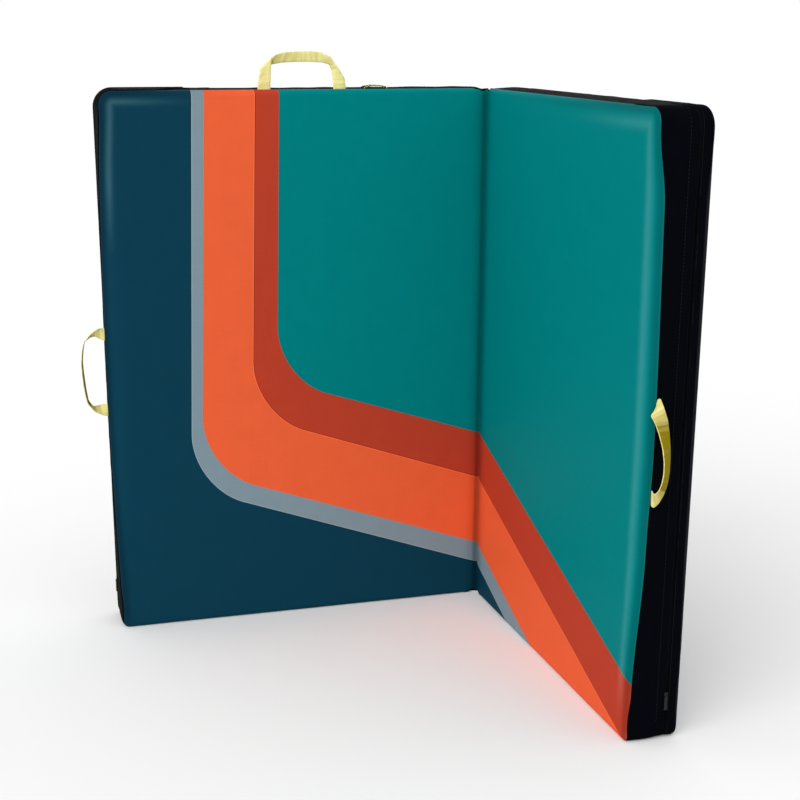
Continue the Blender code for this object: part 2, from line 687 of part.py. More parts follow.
def harness(half, cutters):
    """Shoulder straps and waist belt, with the patches that they are sewn to."""
    yoke = 2 * STRAP_TOP_SPREAD + STRAP_PAD_WIDTH
    patch(half, "yoke_patch", MID_WIDTH, STRAP_TOP_HEIGHT, yoke, PATCH_HEIGHT)
    for way, label in ((-1, "near"), (1, "far")):
        foot_out = MID_WIDTH + way * STRAP_FOOT_SPREAD
        patch(half, "foot_patch_" + label, foot_out, STRAP_FOOT_HEIGHT, PATCH_HEIGHT, PATCH_HEIGHT)
        belt_out = MID_WIDTH + way * BELT_SPREAD
        patch(half, "belt_patch_" + label, belt_out, BELT_HEIGHT, PATCH_HEIGHT, PATCH_WIDTH)
        lock = shoulder_strap(half, way, label)
        cut_ladder_lock(lock, half, way, cutters)
    waist_belt(half, cutters)


def build():
    """Builds both halves, the plain one swung round the fold."""
    clear_scene()
    parts = collection_named("crash_pad")
    cutters = collection_named("cutters")
    strap_half = Half(-1, "strap_half", 0.0, parts)
    plain_half = Half(1, "plain_half", OPEN_ANGLE - math.pi, parts)
    for half, landing, lean in (
        (strap_half, "landing_navy", STRAP_HANDLE_LEAN),
        (plain_half, "landing_teal", PLAIN_HANDLE_LEAN),
    ):
        covers(half, landing)
        gussets(half)
        foams(half)
        hinge_leaf(half)
        zip_parts(half)
        side_handle(half, lean)
    top_handle(strap_half)
    harness(strap_half, cutters)
    closure_straps(strap_half, CLOSURE_LENGTH, "male")
    closure_straps(plain_half, CLOSURE_TAB, "female")


build()
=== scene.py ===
"""The looks of a bouldering crash pad that stands on edge, opened like a book. Metres, +Z up."""

import json
import math

import bpy
import numpy as np
from mathutils import Matrix, Vector


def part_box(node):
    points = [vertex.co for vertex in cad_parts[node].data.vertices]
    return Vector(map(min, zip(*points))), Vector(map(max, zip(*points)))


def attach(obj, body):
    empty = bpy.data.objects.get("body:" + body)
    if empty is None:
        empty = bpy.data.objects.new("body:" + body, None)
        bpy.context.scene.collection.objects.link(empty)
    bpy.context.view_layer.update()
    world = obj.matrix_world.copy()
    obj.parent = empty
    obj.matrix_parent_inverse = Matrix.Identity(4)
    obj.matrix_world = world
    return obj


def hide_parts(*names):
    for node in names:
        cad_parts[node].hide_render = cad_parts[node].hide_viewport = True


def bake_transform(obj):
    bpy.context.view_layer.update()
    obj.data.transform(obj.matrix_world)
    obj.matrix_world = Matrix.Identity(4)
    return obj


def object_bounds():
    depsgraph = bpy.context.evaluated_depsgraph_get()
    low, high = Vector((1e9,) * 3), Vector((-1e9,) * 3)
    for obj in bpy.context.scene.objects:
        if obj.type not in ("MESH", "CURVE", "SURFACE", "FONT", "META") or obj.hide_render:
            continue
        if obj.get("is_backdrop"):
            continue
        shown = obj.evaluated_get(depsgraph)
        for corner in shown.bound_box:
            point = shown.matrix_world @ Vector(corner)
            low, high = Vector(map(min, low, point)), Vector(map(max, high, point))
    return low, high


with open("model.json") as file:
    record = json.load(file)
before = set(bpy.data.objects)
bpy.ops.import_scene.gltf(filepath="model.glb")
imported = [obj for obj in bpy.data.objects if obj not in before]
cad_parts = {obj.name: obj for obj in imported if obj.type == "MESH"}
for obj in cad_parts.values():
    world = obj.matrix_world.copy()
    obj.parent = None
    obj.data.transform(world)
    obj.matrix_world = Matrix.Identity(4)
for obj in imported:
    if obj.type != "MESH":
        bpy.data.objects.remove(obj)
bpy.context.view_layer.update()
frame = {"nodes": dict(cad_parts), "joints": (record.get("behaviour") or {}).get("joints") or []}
MM = 0.001


# Foam slabs
# Three layers fill each half: a closed-cell slab under the landing face, an open-cell core and a
# thin closed-cell base. They are cut from sheet, stacked loose and held by the cover.
STRAP, PLAIN = "strap_half", "plain_half"
HALVES = (STRAP, PLAIN)
FOLD_X, FOLD_Y, _ = next(j for j in frame["joints"] if j["name"] == "fold")["pos_m"]
PANEL_WIDTH = FOLD_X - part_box("ground_cover_strap_half")[0].x
PANEL_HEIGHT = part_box("ground_cover_strap_half")[1].z
GROUND_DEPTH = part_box("ground_cover_strap_half")[1].y - FOLD_Y
MID_HEIGHT = PANEL_HEIGHT / 2
FACE_DEPTH = 0.75 * MM
SEAM_DEPTH = 21.25 * MM
FLAT_FROM_DEPTH = 54.65 * MM
SIDE_BOW = 9 * MM
BOW_SHARPNESS = 8
# Radii of the top outer, bottom outer and both fold corners, at the ground side and at the face
GROUND_CORNERS = (32 * MM, 18 * MM, 12 * MM, 12 * MM)
FACE_CORNERS = (26 * MM, 12 * MM, 8 * MM, 8 * MM)
CORNER_CHANGE_DEPTH = 60 * MM
EDGE_REACH = 40 * MM
EDGE_DROP = 18 * MM
FOAM_INSET = 4 * MM
FOAM_GAP = 0.4 * MM
FOAM_STEP = 12 * MM
CLOSED_CELL = (0.045, 0.047, 0.052)
OPEN_CELL = (0.62, 0.56, 0.38)


def place(half, out, depth, height):
    """Points of a half from the distance out of the fold, the depth behind it and the height."""
    out, depth, height = np.broadcast_arrays(out, depth, height)
    if half == STRAP:
        return np.stack([FOLD_X - out, FOLD_Y + depth, height], -1)
    return np.stack([FOLD_X + depth, FOLD_Y - out, height], -1)


def bowed(out, depth, height):
    """The distance out, swollen at mid height as a parabola and towards the outer side as a power."""
    share = np.clip((FLAT_FROM_DEPTH - depth) / (FLAT_FROM_DEPTH - SEAM_DEPTH), 0, 1)
    swell = np.clip(1 - ((height - MID_HEIGHT) / (MID_HEIGHT - 50 * MM)) ** 2, 0, 1)
    return out + SIDE_BOW * share * swell * np.clip(out / PANEL_WIDTH, 0, 1) ** BOW_SHARPNESS


ANGLES = np.linspace(0, math.pi / 2, 200)
EDGE_ON = EDGE_REACH * np.sin(ANGLES)
EDGE_DOWN = EDGE_DROP * (1 - np.cos(ANGLES))
EDGE_ARC = np.concatenate([[0], np.cumsum(np.hypot(np.diff(EDGE_ON), np.diff(EDGE_DOWN)))])


def over_edge(run, reach, drop):
    """Where cloth gets to after a run over a slab's edge: how far on, and how far down.

    The edge is a quarter ellipse, whose arc length is summed in small steps. Its reach scales
    the run too, and below it the cloth hangs straight down.
    """
    scale = reach / EDGE_REACH
    run = np.maximum(run, 0) / scale
    down = np.interp(run, EDGE_ARC, EDGE_DOWN) * drop / EDGE_DROP
    return np.interp(run, EDGE_ARC, EDGE_ON) * scale, down + np.maximum(run - EDGE_ARC[-1], 0) * scale


def outline_knots(corners):
    """Runs, centres, radii and angles at both ends of each corner of a half's outline.

    The run starts at the middle of the top edge and goes over the outer side, the bottom edge
    and the fold side back to its start.
    """
    middle = PANEL_WIDTH / 2
    outs = (PANEL_WIDTH - corners[0], PANEL_WIDTH - corners[1],
            FACE_DEPTH + corners[2], FACE_DEPTH + corners[3])
    heights = (PANEL_HEIGHT - corners[0], corners[1], corners[2], PANEL_HEIGHT - corners[3])
    straights = (outs[0] - middle, heights[0] - heights[1], outs[1] - outs[2],
                 heights[3] - heights[2], middle - outs[3])
    runs, angles = [0.0], [math.pi / 2]
    for corner in range(4):
        runs += [runs[-1] + straights[corner]]
        runs += [runs[-1] + corners[corner] * math.pi / 2]
        angles += [math.pi / 2 * (1 - corner), -math.pi / 2 * corner]
    runs += [runs[-1] + straights[4]]
    angles += [angles[-1]]

    def at_ends(values):
        """Each value twice, as a corner's two ends share it."""
        return [v for v in values for _ in range(2)]

    outs, heights, radii = at_ends(outs), at_ends(heights), at_ends(corners)
    return (np.array(runs), np.array([middle, *outs, middle]), np.array([heights[0], *heights, heights[-1]]),
            np.array([corners[0], *radii, corners[3]]), np.array(angles))


RUNS = outline_knots(GROUND_CORNERS)[0]
ROUND = RUNS[-1]


def outline(run, inset=0.0, depth=GROUND_DEPTH):
    """A half's outline at a run along it: (out, height).

    A corner keeps its centre while the angle turns, and a straight keeps its angle while the
    centre moves, so each point is the centre plus the radius less the inset along the normal.
    The corners' radii grow with the depth from the face's to the ground side's.
    """
    run = np.mod(run, ROUND)
    share = np.clip(depth / CORNER_CHANGE_DEPTH, 0, 1)
    at_face, at_ground = outline_knots(FACE_CORNERS), outline_knots(GROUND_CORNERS)
    out, height, radius = (
        np.interp(run, RUNS, face) * (1 - share) + np.interp(run, RUNS, ground) * share
        for face, ground in zip(at_face[1:4], at_ground[1:4])
    )
    angle = np.interp(run, RUNS, at_ground[4])
    return np.stack([out + (radius - inset) * np.cos(angle), height + (radius - inset) * np.sin(angle)], -1)


def grid_faces(rows, columns, wrap=False):
    """Quads between the points of a grid, row by row, the last column joined to the first."""
    index = np.arange(rows * columns).reshape(rows, columns)
    if wrap:
        index = np.concatenate([index, index[:, :1]], 1)
    return np.stack([index[:-1, :-1], index[:-1, 1:], index[1:, 1:], index[1:, :-1]], -1).reshape(-1, 4)


def new_piece(name, points, faces, uv=None, uv_faces=None, inside=None, ends=()):
    """A mesh through points, its faces turned away from a point inside, or from its own middle.

    uv is a place on the cloth in metres for each point, or for each entry of uv_faces.
    """
    points = np.asarray(points, float).reshape(-1, 3)
    corners = points[faces]
    middle = points.mean(0) if inside is None else np.asarray(inside)
    normals = np.cross(corners[:, 2] - corners[:, 0], corners[:, 3] - corners[:, 1])
    uv_faces = faces if uv_faces is None else uv_faces
    ends = [np.asarray(end) for end in ends]
    if ((corners.mean(1) - middle) * normals).sum() < 0:
        faces, uv_faces, ends = faces[:, ::-1], uv_faces[:, ::-1], [end[::-1] for end in ends]
    mesh = bpy.data.meshes.new(name)
    mesh.from_pydata(points.tolist(), [], faces.tolist() + [end.tolist() for end in ends])
    if uv is not None:
        uv = np.asarray(uv, float).reshape(-1, 2)
        flat = [uv[uv_faces.ravel()]] + [np.zeros((len(end), 2)) for end in ends]
        layer = mesh.uv_layers.new(name="cloth")
        layer.data.foreach_set("uv", np.concatenate(flat).astype(np.float32).ravel())
    mesh.shade_smooth()
    obj = bpy.data.objects.new(name, mesh)
    bpy.context.scene.collection.objects.link(obj)
    return obj


def tube(name, rings, uv=None, inside=None):
    """A closed body through rings of points, with a flat face at both ends."""
    rows, columns = rings.shape[:2]
    index = np.arange(rows * columns).reshape(rows, columns)
    faces = grid_faces(rows, columns, wrap=True)
    uv_faces = None if uv is None else grid_faces(rows, columns + 1)
    return new_piece(name, rings, faces, uv, uv_faces, inside, (index[0][::-1], index[-1]))


def start_material(name, colour, roughness):
    """A Principled material with plain values set on its own sockets: it, its tree and shader."""
    material = bpy.data.materials.new(name)
    material.use_nodes = True
    shader = material.node_tree.nodes["Principled BSDF"]
    shader.inputs["Base Color"].default_value = (*colour, 1)
    shader.inputs["Roughness"].default_value = roughness
    return material, material.node_tree, shader


def node(tree, kind, inputs=None, **settings):
    """Adds a node, and links or sets its inputs by socket name or number."""
    made = tree.nodes.new("ShaderNode" + kind)
    for key, value in settings.items():
        setattr(made, key, value)
    for socket, value in (inputs or {}).items():
        if isinstance(value, bpy.types.NodeSocket):
            tree.links.new(value, made.inputs[socket])
        else:
            made.inputs[socket].default_value = value
    return made


def calc(tree, operation, *values):
    """The output of one Math node."""
    return node(tree, "Math", dict(enumerate(values)), operation=operation).outputs[0]


def noise(tree, place_socket, scale, detail=3.0, stretch=(1, 1, 1)):
    """The factor of a noise texture, its place stretched along the axes first."""
    moved = node(tree, "Mapping", {"Vector": place_socket, "Scale": stretch}).outputs[0]
    return node(tree, "TexNoise", {"Vector": moved, "Scale": scale, "Detail": detail}).outputs["Fac"]


def ranged(tree, value, low, high, start=0.0, end=1.0):
    """A value moved from the range between start and end to the one between low and high."""
    return node(tree, "MapRange", {0: value, 1: start, 2: end, 3: low, 4: high}).outputs[0]


def blended(tree, factor, first, second, kind="MIX"):
    """Two colours mixed by a factor."""
    return node(tree, "Mix", {0: factor, 6: first, 7: second}, data_type="RGBA", blend_type=kind).outputs[2]


def tinted(tree, colour, factor, low, high):
    """A colour made darker or lighter by a factor from 0 to 1, between two shares of itself."""
    return blended(tree, 1.0, colour, ranged(tree, factor, low, high), "MULTIPLY")


def finish_material(made, colour_out, height, strength, distance):
    """Links a started material to its colour and to the bump of a height."""
    material, tree, shader = made
    bump = node(tree, "Bump", {"Height": height, "Strength": strength, "Distance": distance}).outputs[0]
    tree.links.new(colour_out, shader.inputs["Base Color"])
    tree.links.new(bump, shader.inputs["Normal"])
    return material


def foam_material(name, colour, cell):
    """Cut foam: cells of one size in Object coordinates, open ones darkened with painted shade towards their
    middles, with a soft mottle.
    """
    made = start_material(name, colour, 0.92)
    tree = made[1]
    spot = node(tree, "TexCoord").outputs["Object"]
    cells = node(tree, "TexVoronoi", {"Vector": spot, "Scale": 1 / cell}).outputs["Distance"]
    # Painted shade in the pores: each cell darker towards its middle, where the bump sinks
    colour_out = tinted(tree, (*colour, 1), cells, 0.7, 1.15)
    colour_out = tinted(tree, colour_out, noise(tree, spot, 30), 0.9, 1.08)
    return finish_material(made, colour_out, cells, 0.5, 0.3 * MM)


closed_cell = foam_material("closed_cell_foam", CLOSED_CELL, 0.6 * MM)
open_cell = foam_material("open_cell_foam", OPEN_CELL, 1.6 * MM)

for half in HALVES:
    loop = np.arange(0, ROUND, FOAM_STEP)
    for layer, foam in (("landing_foam", closed_cell), ("core_foam", open_cell), ("base_foam", closed_cell)):
        across = 1 if half == STRAP else 0
        fold_at = (FOLD_X, FOLD_Y)[across]
        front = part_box(f"{layer}_{half}")[0][across] - fold_at + FOAM_GAP
        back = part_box(f"{layer}_{half}")[1][across] - fold_at - FOAM_GAP
        reach, drop = (EDGE_REACH / 2, EDGE_DROP / 2) if layer == "landing_foam" else (FOAM_GAP, FOAM_GAP)
        turn = np.linspace(0, math.pi / 2, 7)
        insets = [*(FOAM_INSET + reach * (1 - np.sin(turn))), FOAM_INSET, FOAM_INSET + FOAM_GAP]
        depths = [*(front + FOAM_INSET + drop * (1 - np.cos(turn))), back - FOAM_GAP, back]
        rings = []
        for inset, depth in zip(insets, depths):
            edge = outline(loop, inset, depth)
            rings.append(place(half, bowed(edge[:, 0], depth, edge[:, 1]), depth, edge[:, 1]))
        slab = tube(f"{layer}_{half}_cells", np.array(rings))
        slab.data.materials.append(foam)
        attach(slab, half)
        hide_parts(f"{layer}_{half}")


# Side walls
# Blue-black coated nylon closes the edges of each half. One strip runs round the fold side, and a
# zipped end piece wraps over the outer corners and laps the strip in a slanting seam.
GROUND_SEAM_DEPTH = 92.75 * MM
HEM = 2.5 * MM
DIAGONAL_FRONT = 114 * MM
DIAGONAL_BACK = 222 * MM
ZIP_DEPTH = 73 * MM
ZIP_GAP = 4 * MM
ZIP_START = RUNS[3] + GROUND_CORNERS[1] - 52 * MM
WALL_STEP = 5 * MM
WALL_BULGE = 1.6 * MM
PUCKER = 0.55 * MM
SEAM_DIP = 1.5 * MM
SEAM_TUCK = 5 * MM
LAP_RISE = 1.8 * MM
LAP_REACH = 9 * MM
FOLD_HOLLOW = 0.6 * MM
LOWEST = -0.8 * MM
BLACK_NYLON = (0.0016, 0.0021, 0.0034)
BLACK_GLOSS = 1.03
# How far the landing face turns in and falls at places round the outline, in millimetres
EDGE_PLACES = (
    0, RUNS[1] - 110 * MM, (RUNS[1] + RUNS[2]) / 2, RUNS[2] + 120 * MM, (RUNS[2] + RUNS[3]) / 2,
    RUNS[3] - 330 * MM, RUNS[3] - 60 * MM, (RUNS[3] + RUNS[4]) / 2, (RUNS[4] + RUNS[5]) / 2,
    RUNS[5] - 30 * MM, (RUNS[6] + RUNS[7]) / 2, RUNS[8] + 30 * MM, ROUND,
)
EDGE_REACHES = (9, 16, 22, 38, 40, 34, 16, 10, 10, 8, 8, 8, 9)
EDGE_DROPS = {
    STRAP: (17, 14, 7, 16, 18, 15, 7, 5, 5, 6, 12, 8, 17),
    PLAIN: (6, 6, 6, 16, 18, 15, 7, 5, 5, 6, 12, 6, 6),
}


def eased(value, places, heights):
    """Values between given places, joined by curves that are level at each place."""
    step = np.interp(value, places, np.arange(len(places)))
    low = np.minimum(step.astype(int), len(places) - 2)
    share = step - low
    share = share * share * (3 - 2 * share)
    heights = np.asarray(heights, float)
    return heights[low] * (1 - share) + heights[low + 1] * share


def edge_shape(half, run):
    """The landing edge's reach and drop at a run round a half."""
    run = np.mod(run, ROUND)
    return eased(run, EDGE_PLACES, EDGE_REACHES) * MM, eased(run, EDGE_PLACES, EDGE_DROPS[half]) * MM


def seam_over(half, run):
    """The cloth's run over the edge down to the landing seam."""
    reach, drop = edge_shape(half, run)
    return (EDGE_ARC[-1] + HEM * drop / EDGE_DROP) * reach / EDGE_REACH


def over_at(half, run, depth):
    """The cloth's run over the edge at which the wall has this depth."""
    reach, drop = edge_shape(half, run)
    return EDGE_ARC[-1] * reach / EDGE_REACH + depth - FACE_DEPTH - drop


def wall_point(half, run, over, lift):
    """A point of a side wall, from the run round the outline and the run over the edge."""
    reach, drop = edge_shape(half, run)
    on, down = over_edge(over, reach, drop)
    depth = FACE_DEPTH + down
    edge = outline(run, reach - on - lift, depth)
    return place(half, bowed(edge[..., 0], depth, edge[..., 1]), depth, edge[..., 1])


def landing_line(half, run, _):
    """The landing seam, as a line that a wall piece starts from."""
    return seam_over(half, run)


def ground_line(half, run, _):
    """The ground seam, as a line that a wall piece ends at."""
    return over_at(half, run, GROUND_SEAM_DEPTH)


def zip_line(half, run, zip_run, way):
    """One side of the zip's gap, which closes below the zip."""
    gap = ZIP_GAP * np.clip((ZIP_START - zip_run) / (8 * MM), 0.02, 1)
    return over_at(half, run, ZIP_DEPTH + way * gap)


def waves(along, across, length, seed, terms=9):
    """A smooth random surface from -1 to 1: a sum of sines in random directions and phases."""
    rng = np.random.default_rng(seed)
    total = np.zeros(np.broadcast(along, across).shape)
    for _ in range(terms):
        way, phase = rng.uniform(0, 2 * math.pi, 2)
        pitch = length * rng.uniform(0.6, 1.8)
        total += np.sin(2 * math.pi / pitch * (along * math.cos(way) + across * math.sin(way)) + phase)
    return total / terms ** 0.5 / 1.5


def fade(distance, width):
    """A share that falls off with a distance: the exponential of minus its ratio to a width."""
    return np.exp(-distance / width)


def soft_step(distance, width):
    """A share that drops from 1 to 0 as a distance passes 0: one over 1 plus an exponential."""
    return 1 / (1 + np.exp(np.clip(distance / width, -30, 30)))


def coated_nylon(name, colour, roughness, index):
    """Starts a pack cloth that reads its weave from the cloth's own coordinates.

    A refractive index near one keeps it matt at slanting angles too.
    """
    made = start_material(name, colour, roughness)
    made[2].inputs["IOR"].default_value = index
    return made, node(made[1], "UVMap", uv_map="cloth").outputs[0]


def weave_height(tree, spot, pitch):
    """The height of a plain weave: threads go over and under each other along both ways."""
    parts = node(tree, "SeparateXYZ", {0: spot})
    turns = 2 * math.pi / pitch
    sines = [calc(tree, "SINE", calc(tree, "MULTIPLY", parts.outputs[i], turns)) for i in (0, 1)]
    return calc(tree, "MULTIPLY", *sines)


def finish_nylon(made, spot, colour_out, weave, mottle, bump_distance):
    """Adds mottle, slubs, a weave and uneven gloss to a pack cloth.

    Slubs are noise drawn out along one thread, and the weave's height adds to the grain's.
    """
    tree, shader = made[1:]
    patches = noise(tree, spot, 24, 5)
    slubs = noise(tree, spot, 16, 2, (1, 55, 1))
    warp = noise(tree, spot, 16, 2, (55, 1, 1))
    grain = noise(tree, spot, 420, 2)
    threads = weave_height(tree, spot, weave)
    for factor, spread in ((patches, mottle), (slubs, mottle * 0.8), (warp, mottle * 0.8), (grain, mottle)):
        colour_out = tinted(tree, colour_out, factor, 1 - spread, 1 + spread)
    height = calc(tree, "MULTIPLY_ADD", threads, 0.5, grain)
    height = calc(tree, "MULTIPLY_ADD", calc(tree, "ADD", slubs, warp), 1.3, height)
    rough = shader.inputs["Roughness"]
    gloss = ranged(tree, patches, rough.default_value - 0.06, rough.default_value + 0.06)
    tree.links.new(gloss, rough)
    return finish_material(made, colour_out, height, 0.6, bump_distance)


def one_colour_nylon(name, colour, roughness, index, weave, mottle, bump_distance):
    """Pack cloth dyed in one colour."""
    made, spot = coated_nylon(name, colour, roughness, index)
    return finish_nylon(made, spot, (*colour, 1), weave, mottle, bump_distance)


def fabric_steps(low, high, step):
    """Places from low to high, close together near both ends, where the cloth turns in."""
    inner = np.linspace(low, high, int(round((high - low) / step)) + 1)
    near = np.array([0, 0.6, 1.4, 2.6]) * MM
    return np.unique(np.round(np.concatenate([inner, low + near, high - near]), 7))


def diagonal(depth, lap):
    """Both ends of the end piece round the outline, where the slanting seam crosses this depth."""
    share = (depth - SEAM_DEPTH) / (GROUND_SEAM_DEPTH - SEAM_DEPTH)
    back = DIAGONAL_FRONT + (DIAGONAL_BACK - DIAGONAL_FRONT) * share + lap
    return PANEL_WIDTH / 2 - back, RUNS[4] + back - GROUND_CORNERS[1]


def wall_piece(name, half, ends_at, over_low, over_high, lap, seed):
    """A strip of side wall between two lines over the edge. Its rims dip into the seams.

    Rows go over the edge and columns round the outline. The lift is half a sine between both
    lines plus two sets of waves, and falls off to the rims and at the fold as an exponential.
    ends_at gives both ends of a row, lap raises the strip, and its last rows and columns turn
    inwards.
    """
    start, end = ends_at(SEAM_DEPTH)
    columns = np.linspace(0, 1, int((end - start) / WALL_STEP) + 1)[None, :]
    base = start + (end - start) * columns
    zip_ends = ends_at(ZIP_DEPTH)
    zip_run = zip_ends[0] + (zip_ends[1] - zip_ends[0]) * columns
    low, high = over_low(half, base, zip_run), over_high(half, base, zip_run)
    share = fabric_steps(0, 80 * MM, 4 * MM)[:, None] / (80 * MM)
    over = low + (high - low) * share
    depth = FACE_DEPTH + over_edge(over, *edge_shape(half, base))[1]
    start, end = ends_at(depth)
    run = start + (end - start) * columns
    rim = np.minimum(over - low, high - over)
    lift = WALL_BULGE * np.sin(math.pi * share) * (high - low) / (60 * MM)
    lift = lift + PUCKER * waves(run, over, 60 * MM, seed)
    lift = lift + 0.6 * PUCKER * waves(run, over, 17 * MM, seed + 1) * fade(rim, 9 * MM)
    from_fold = np.abs(run - (RUNS[5] + RUNS[8]) / 2) - PANEL_HEIGHT / 2 + 4 * MM
    by_fold = soft_step(from_fold, 3 * MM)
    lift = lift * (1 - fade(rim, 5 * MM)) * (1 - by_fold) - FOLD_HOLLOW * by_fold
    lift = lift - SEAM_DIP * fade(rim, 1.3 * MM)
    if lap:
        lift = lift + LAP_RISE * np.minimum(1, np.minimum(run - start, end - run) / (1.2 * MM) + 0.35)
    lift = np.pad(lift, 1, mode="edge")
    lift[[0, -1]] = -SEAM_TUCK
    lift[:, [0, -1]] -= SEAM_TUCK / 2
    run, over = np.pad(run, 1, mode="edge"), np.pad(over, 1, mode="edge")
    middle = place(half, PANEL_WIDTH / 2, GROUND_DEPTH / 2, MID_HEIGHT)
    points = wall_point(half, run, over, lift)
    points[..., 2] = np.maximum(points[..., 2], LOWEST)
    return new_piece(name, points, grid_faces(*run.shape), np.stack([run, over], -1), inside=middle)


black_nylon = one_colour_nylon("coated_nylon", BLACK_NYLON, 0.5, BLACK_GLOSS, 1.3 * MM, 0.2, 0.25 * MM)

for number, half in enumerate(HALVES):
    pieces = {
        "main_gusset": wall_piece(
            f"main_gusset_{half}_cloth", half,
            lambda depth: (diagonal(depth, 0)[1], ROUND + diagonal(depth, 0)[0]),
            landing_line, ground_line, False, 10 + number,
        ),
        "end_gusset_front": wall_piece(
            f"end_gusset_front_{half}_cloth", half, lambda depth: diagonal(depth, LAP_REACH),
            landing_line, lambda *line: zip_line(*line, -1), True, 20 + number,
        ),
        "end_gusset_back": wall_piece(
            f"end_gusset_back_{half}_cloth", half, lambda depth: diagonal(depth, LAP_REACH),
            lambda *line: zip_line(*line, 1), ground_line, True, 30 + number,
        ),
    }
    for cad_name, cloth in pieces.items():
        cloth.data.materials.append(black_nylon)
        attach(cloth, half)
        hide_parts(f"{cad_name}_{half}")


# Zip
# A coil zip with a storm flap over its front edge lets the foam out at each end. Its teeth are
# wound on a woven tape, and the slider's pull hangs down.
TAPE_WIDTH = 22 * MM
TAPE_THICKNESS = 0.8 * MM
TAPE_SINK = 1.6 * MM
TOOTH_PITCH = 1.3 * MM
TOOTH_SINK = 0.5 * MM
TOOTH = (3.4 * MM, 0.95 * MM, 1.1 * MM)
FLAP_FRONT, FLAP_BACK = 54.95 * MM, 70.5 * MM
FLAP_THICKNESS = 1.4 * MM
STITCH = (3.2 * MM, 0.62 * MM, 0.5 * MM)
STITCH_PITCH = 4.4 * MM
ZIP_BLACK = (0.0025, 0.0028, 0.0036)
COIL_BLACK = (0.006, 0.006, 0.008)
METAL_BLACK = (0.012, 0.012, 0.014)
THREAD_BLACK = (0.011, 0.013, 0.018)


def ribbon(name, edge_a, edge_b, thickness, crown=0.0):
    """A flat woven strip between two edge lines, its selvedges rounded.

    Each ring runs once round the section. crown lifts the middle of both faces as a parabola.
    """
    side = np.array([-1, -0.97, -0.6, -0.2, 0.2, 0.6, 0.97, 1, 1, 0.97, 0.6, 0.2, -0.2, -0.6, -0.97, -1])
    level = np.array([0.45] + [1] * 6 + [0.45, -0.45] + [-1] * 6 + [-0.45])
    across = (edge_b - edge_a) / 2
    centre = (edge_a + edge_b) / 2
    normal = np.cross(np.gradient(centre, axis=0), across)
    normal /= np.linalg.norm(normal, axis=1, keepdims=True)
    swell = level * (thickness / 2) + np.sign(level) * crown * (1 - side ** 2) * (np.abs(level) == 1)
    rings = centre[:, None] + side[:, None] * across[:, None] + swell[:, None] * normal[:, None]
    along = np.concatenate([[0], np.cumsum(np.linalg.norm(np.diff(centre, axis=0), axis=1))])
    half_width = np.linalg.norm(across, axis=1).mean()
    uv = np.stack(np.broadcast_arrays(along[:, None], half_width * side[None, :]), -1)
    closed = np.concatenate([uv, uv[:, :1]], 1)
    return tube(name, rings, closed)


def scattered(name, spots, along, up, size):
    """Small rounded bars at given places, each along one direction and standing on another.

    A bar is five rings of four points, whose places and widths are shares of its size.
    """
    rings = ((-0.5, 0.3), (-0.32, 0.9), (0, 1.0), (0.32, 0.9), (0.5, 0.3))
    along = along / np.linalg.norm(along, axis=-1, keepdims=True)
    side = np.cross(up, along)
    side /= np.linalg.norm(side, axis=-1, keepdims=True)
    rise = np.cross(along, side)
    turn = np.arange(4) * math.pi / 2
    steps = np.array([[x, w * math.cos(t), w * math.sin(t)] for x, w in rings for t in turn])
    local = steps * np.array([size[0], size[1] / 2, size[2] / 2])
    points = (spots[:, None] + local[:, :1] * along[:, None] + local[:, 1:2] * side[:, None]
              + local[:, 2:] * rise[:, None])
    one = grid_faces(len(rings), 4, wrap=True)
    caps = np.array([[3, 2, 1, 0], [len(steps) - 4, len(steps) - 3, len(steps) - 2, len(steps) - 1]])
    shift = np.arange(len(spots))[:, None, None] * len(steps)
    faces = np.concatenate([(one + shift).reshape(-1, 4), (caps + shift).reshape(-1, 4)])
    return new_piece(name, points, faces)


def sewn_row(half, runs, over, lift=0.35 * MM):
    """Places, directions and normals of stitches along a wall, at a run over the edge."""
    spots = wall_point(half, runs, over, lift)
    return spots, np.gradient(spots, axis=0), wall_point(half, runs, over, lift + 1 * MM) - spots


def add_stitches(name, rows, size, body, finish):
    """One piece of thread from several rows of stitches."""
    spots, along, up = (np.concatenate(parts) for parts in zip(*rows))
    thread = scattered(name, spots, along, up, size)
    thread.data.materials.append(finish)
    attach(thread, body)


def thread_material(name, colour):
    """Twisted thread: fine slanting strands in its bump and shade."""
    made = start_material(name, colour, 0.6)
    tree, shader = made[1:]
    shader.inputs["Specular IOR Level"].default_value = 0.2
    strands = noise(tree, node(tree, "TexCoord").outputs["Object"], 2200, 1)
    return finish_material(made, tinted(tree, (*colour, 1), strands, 0.75, 1.25), strands, 0.5, 0.1 * MM)


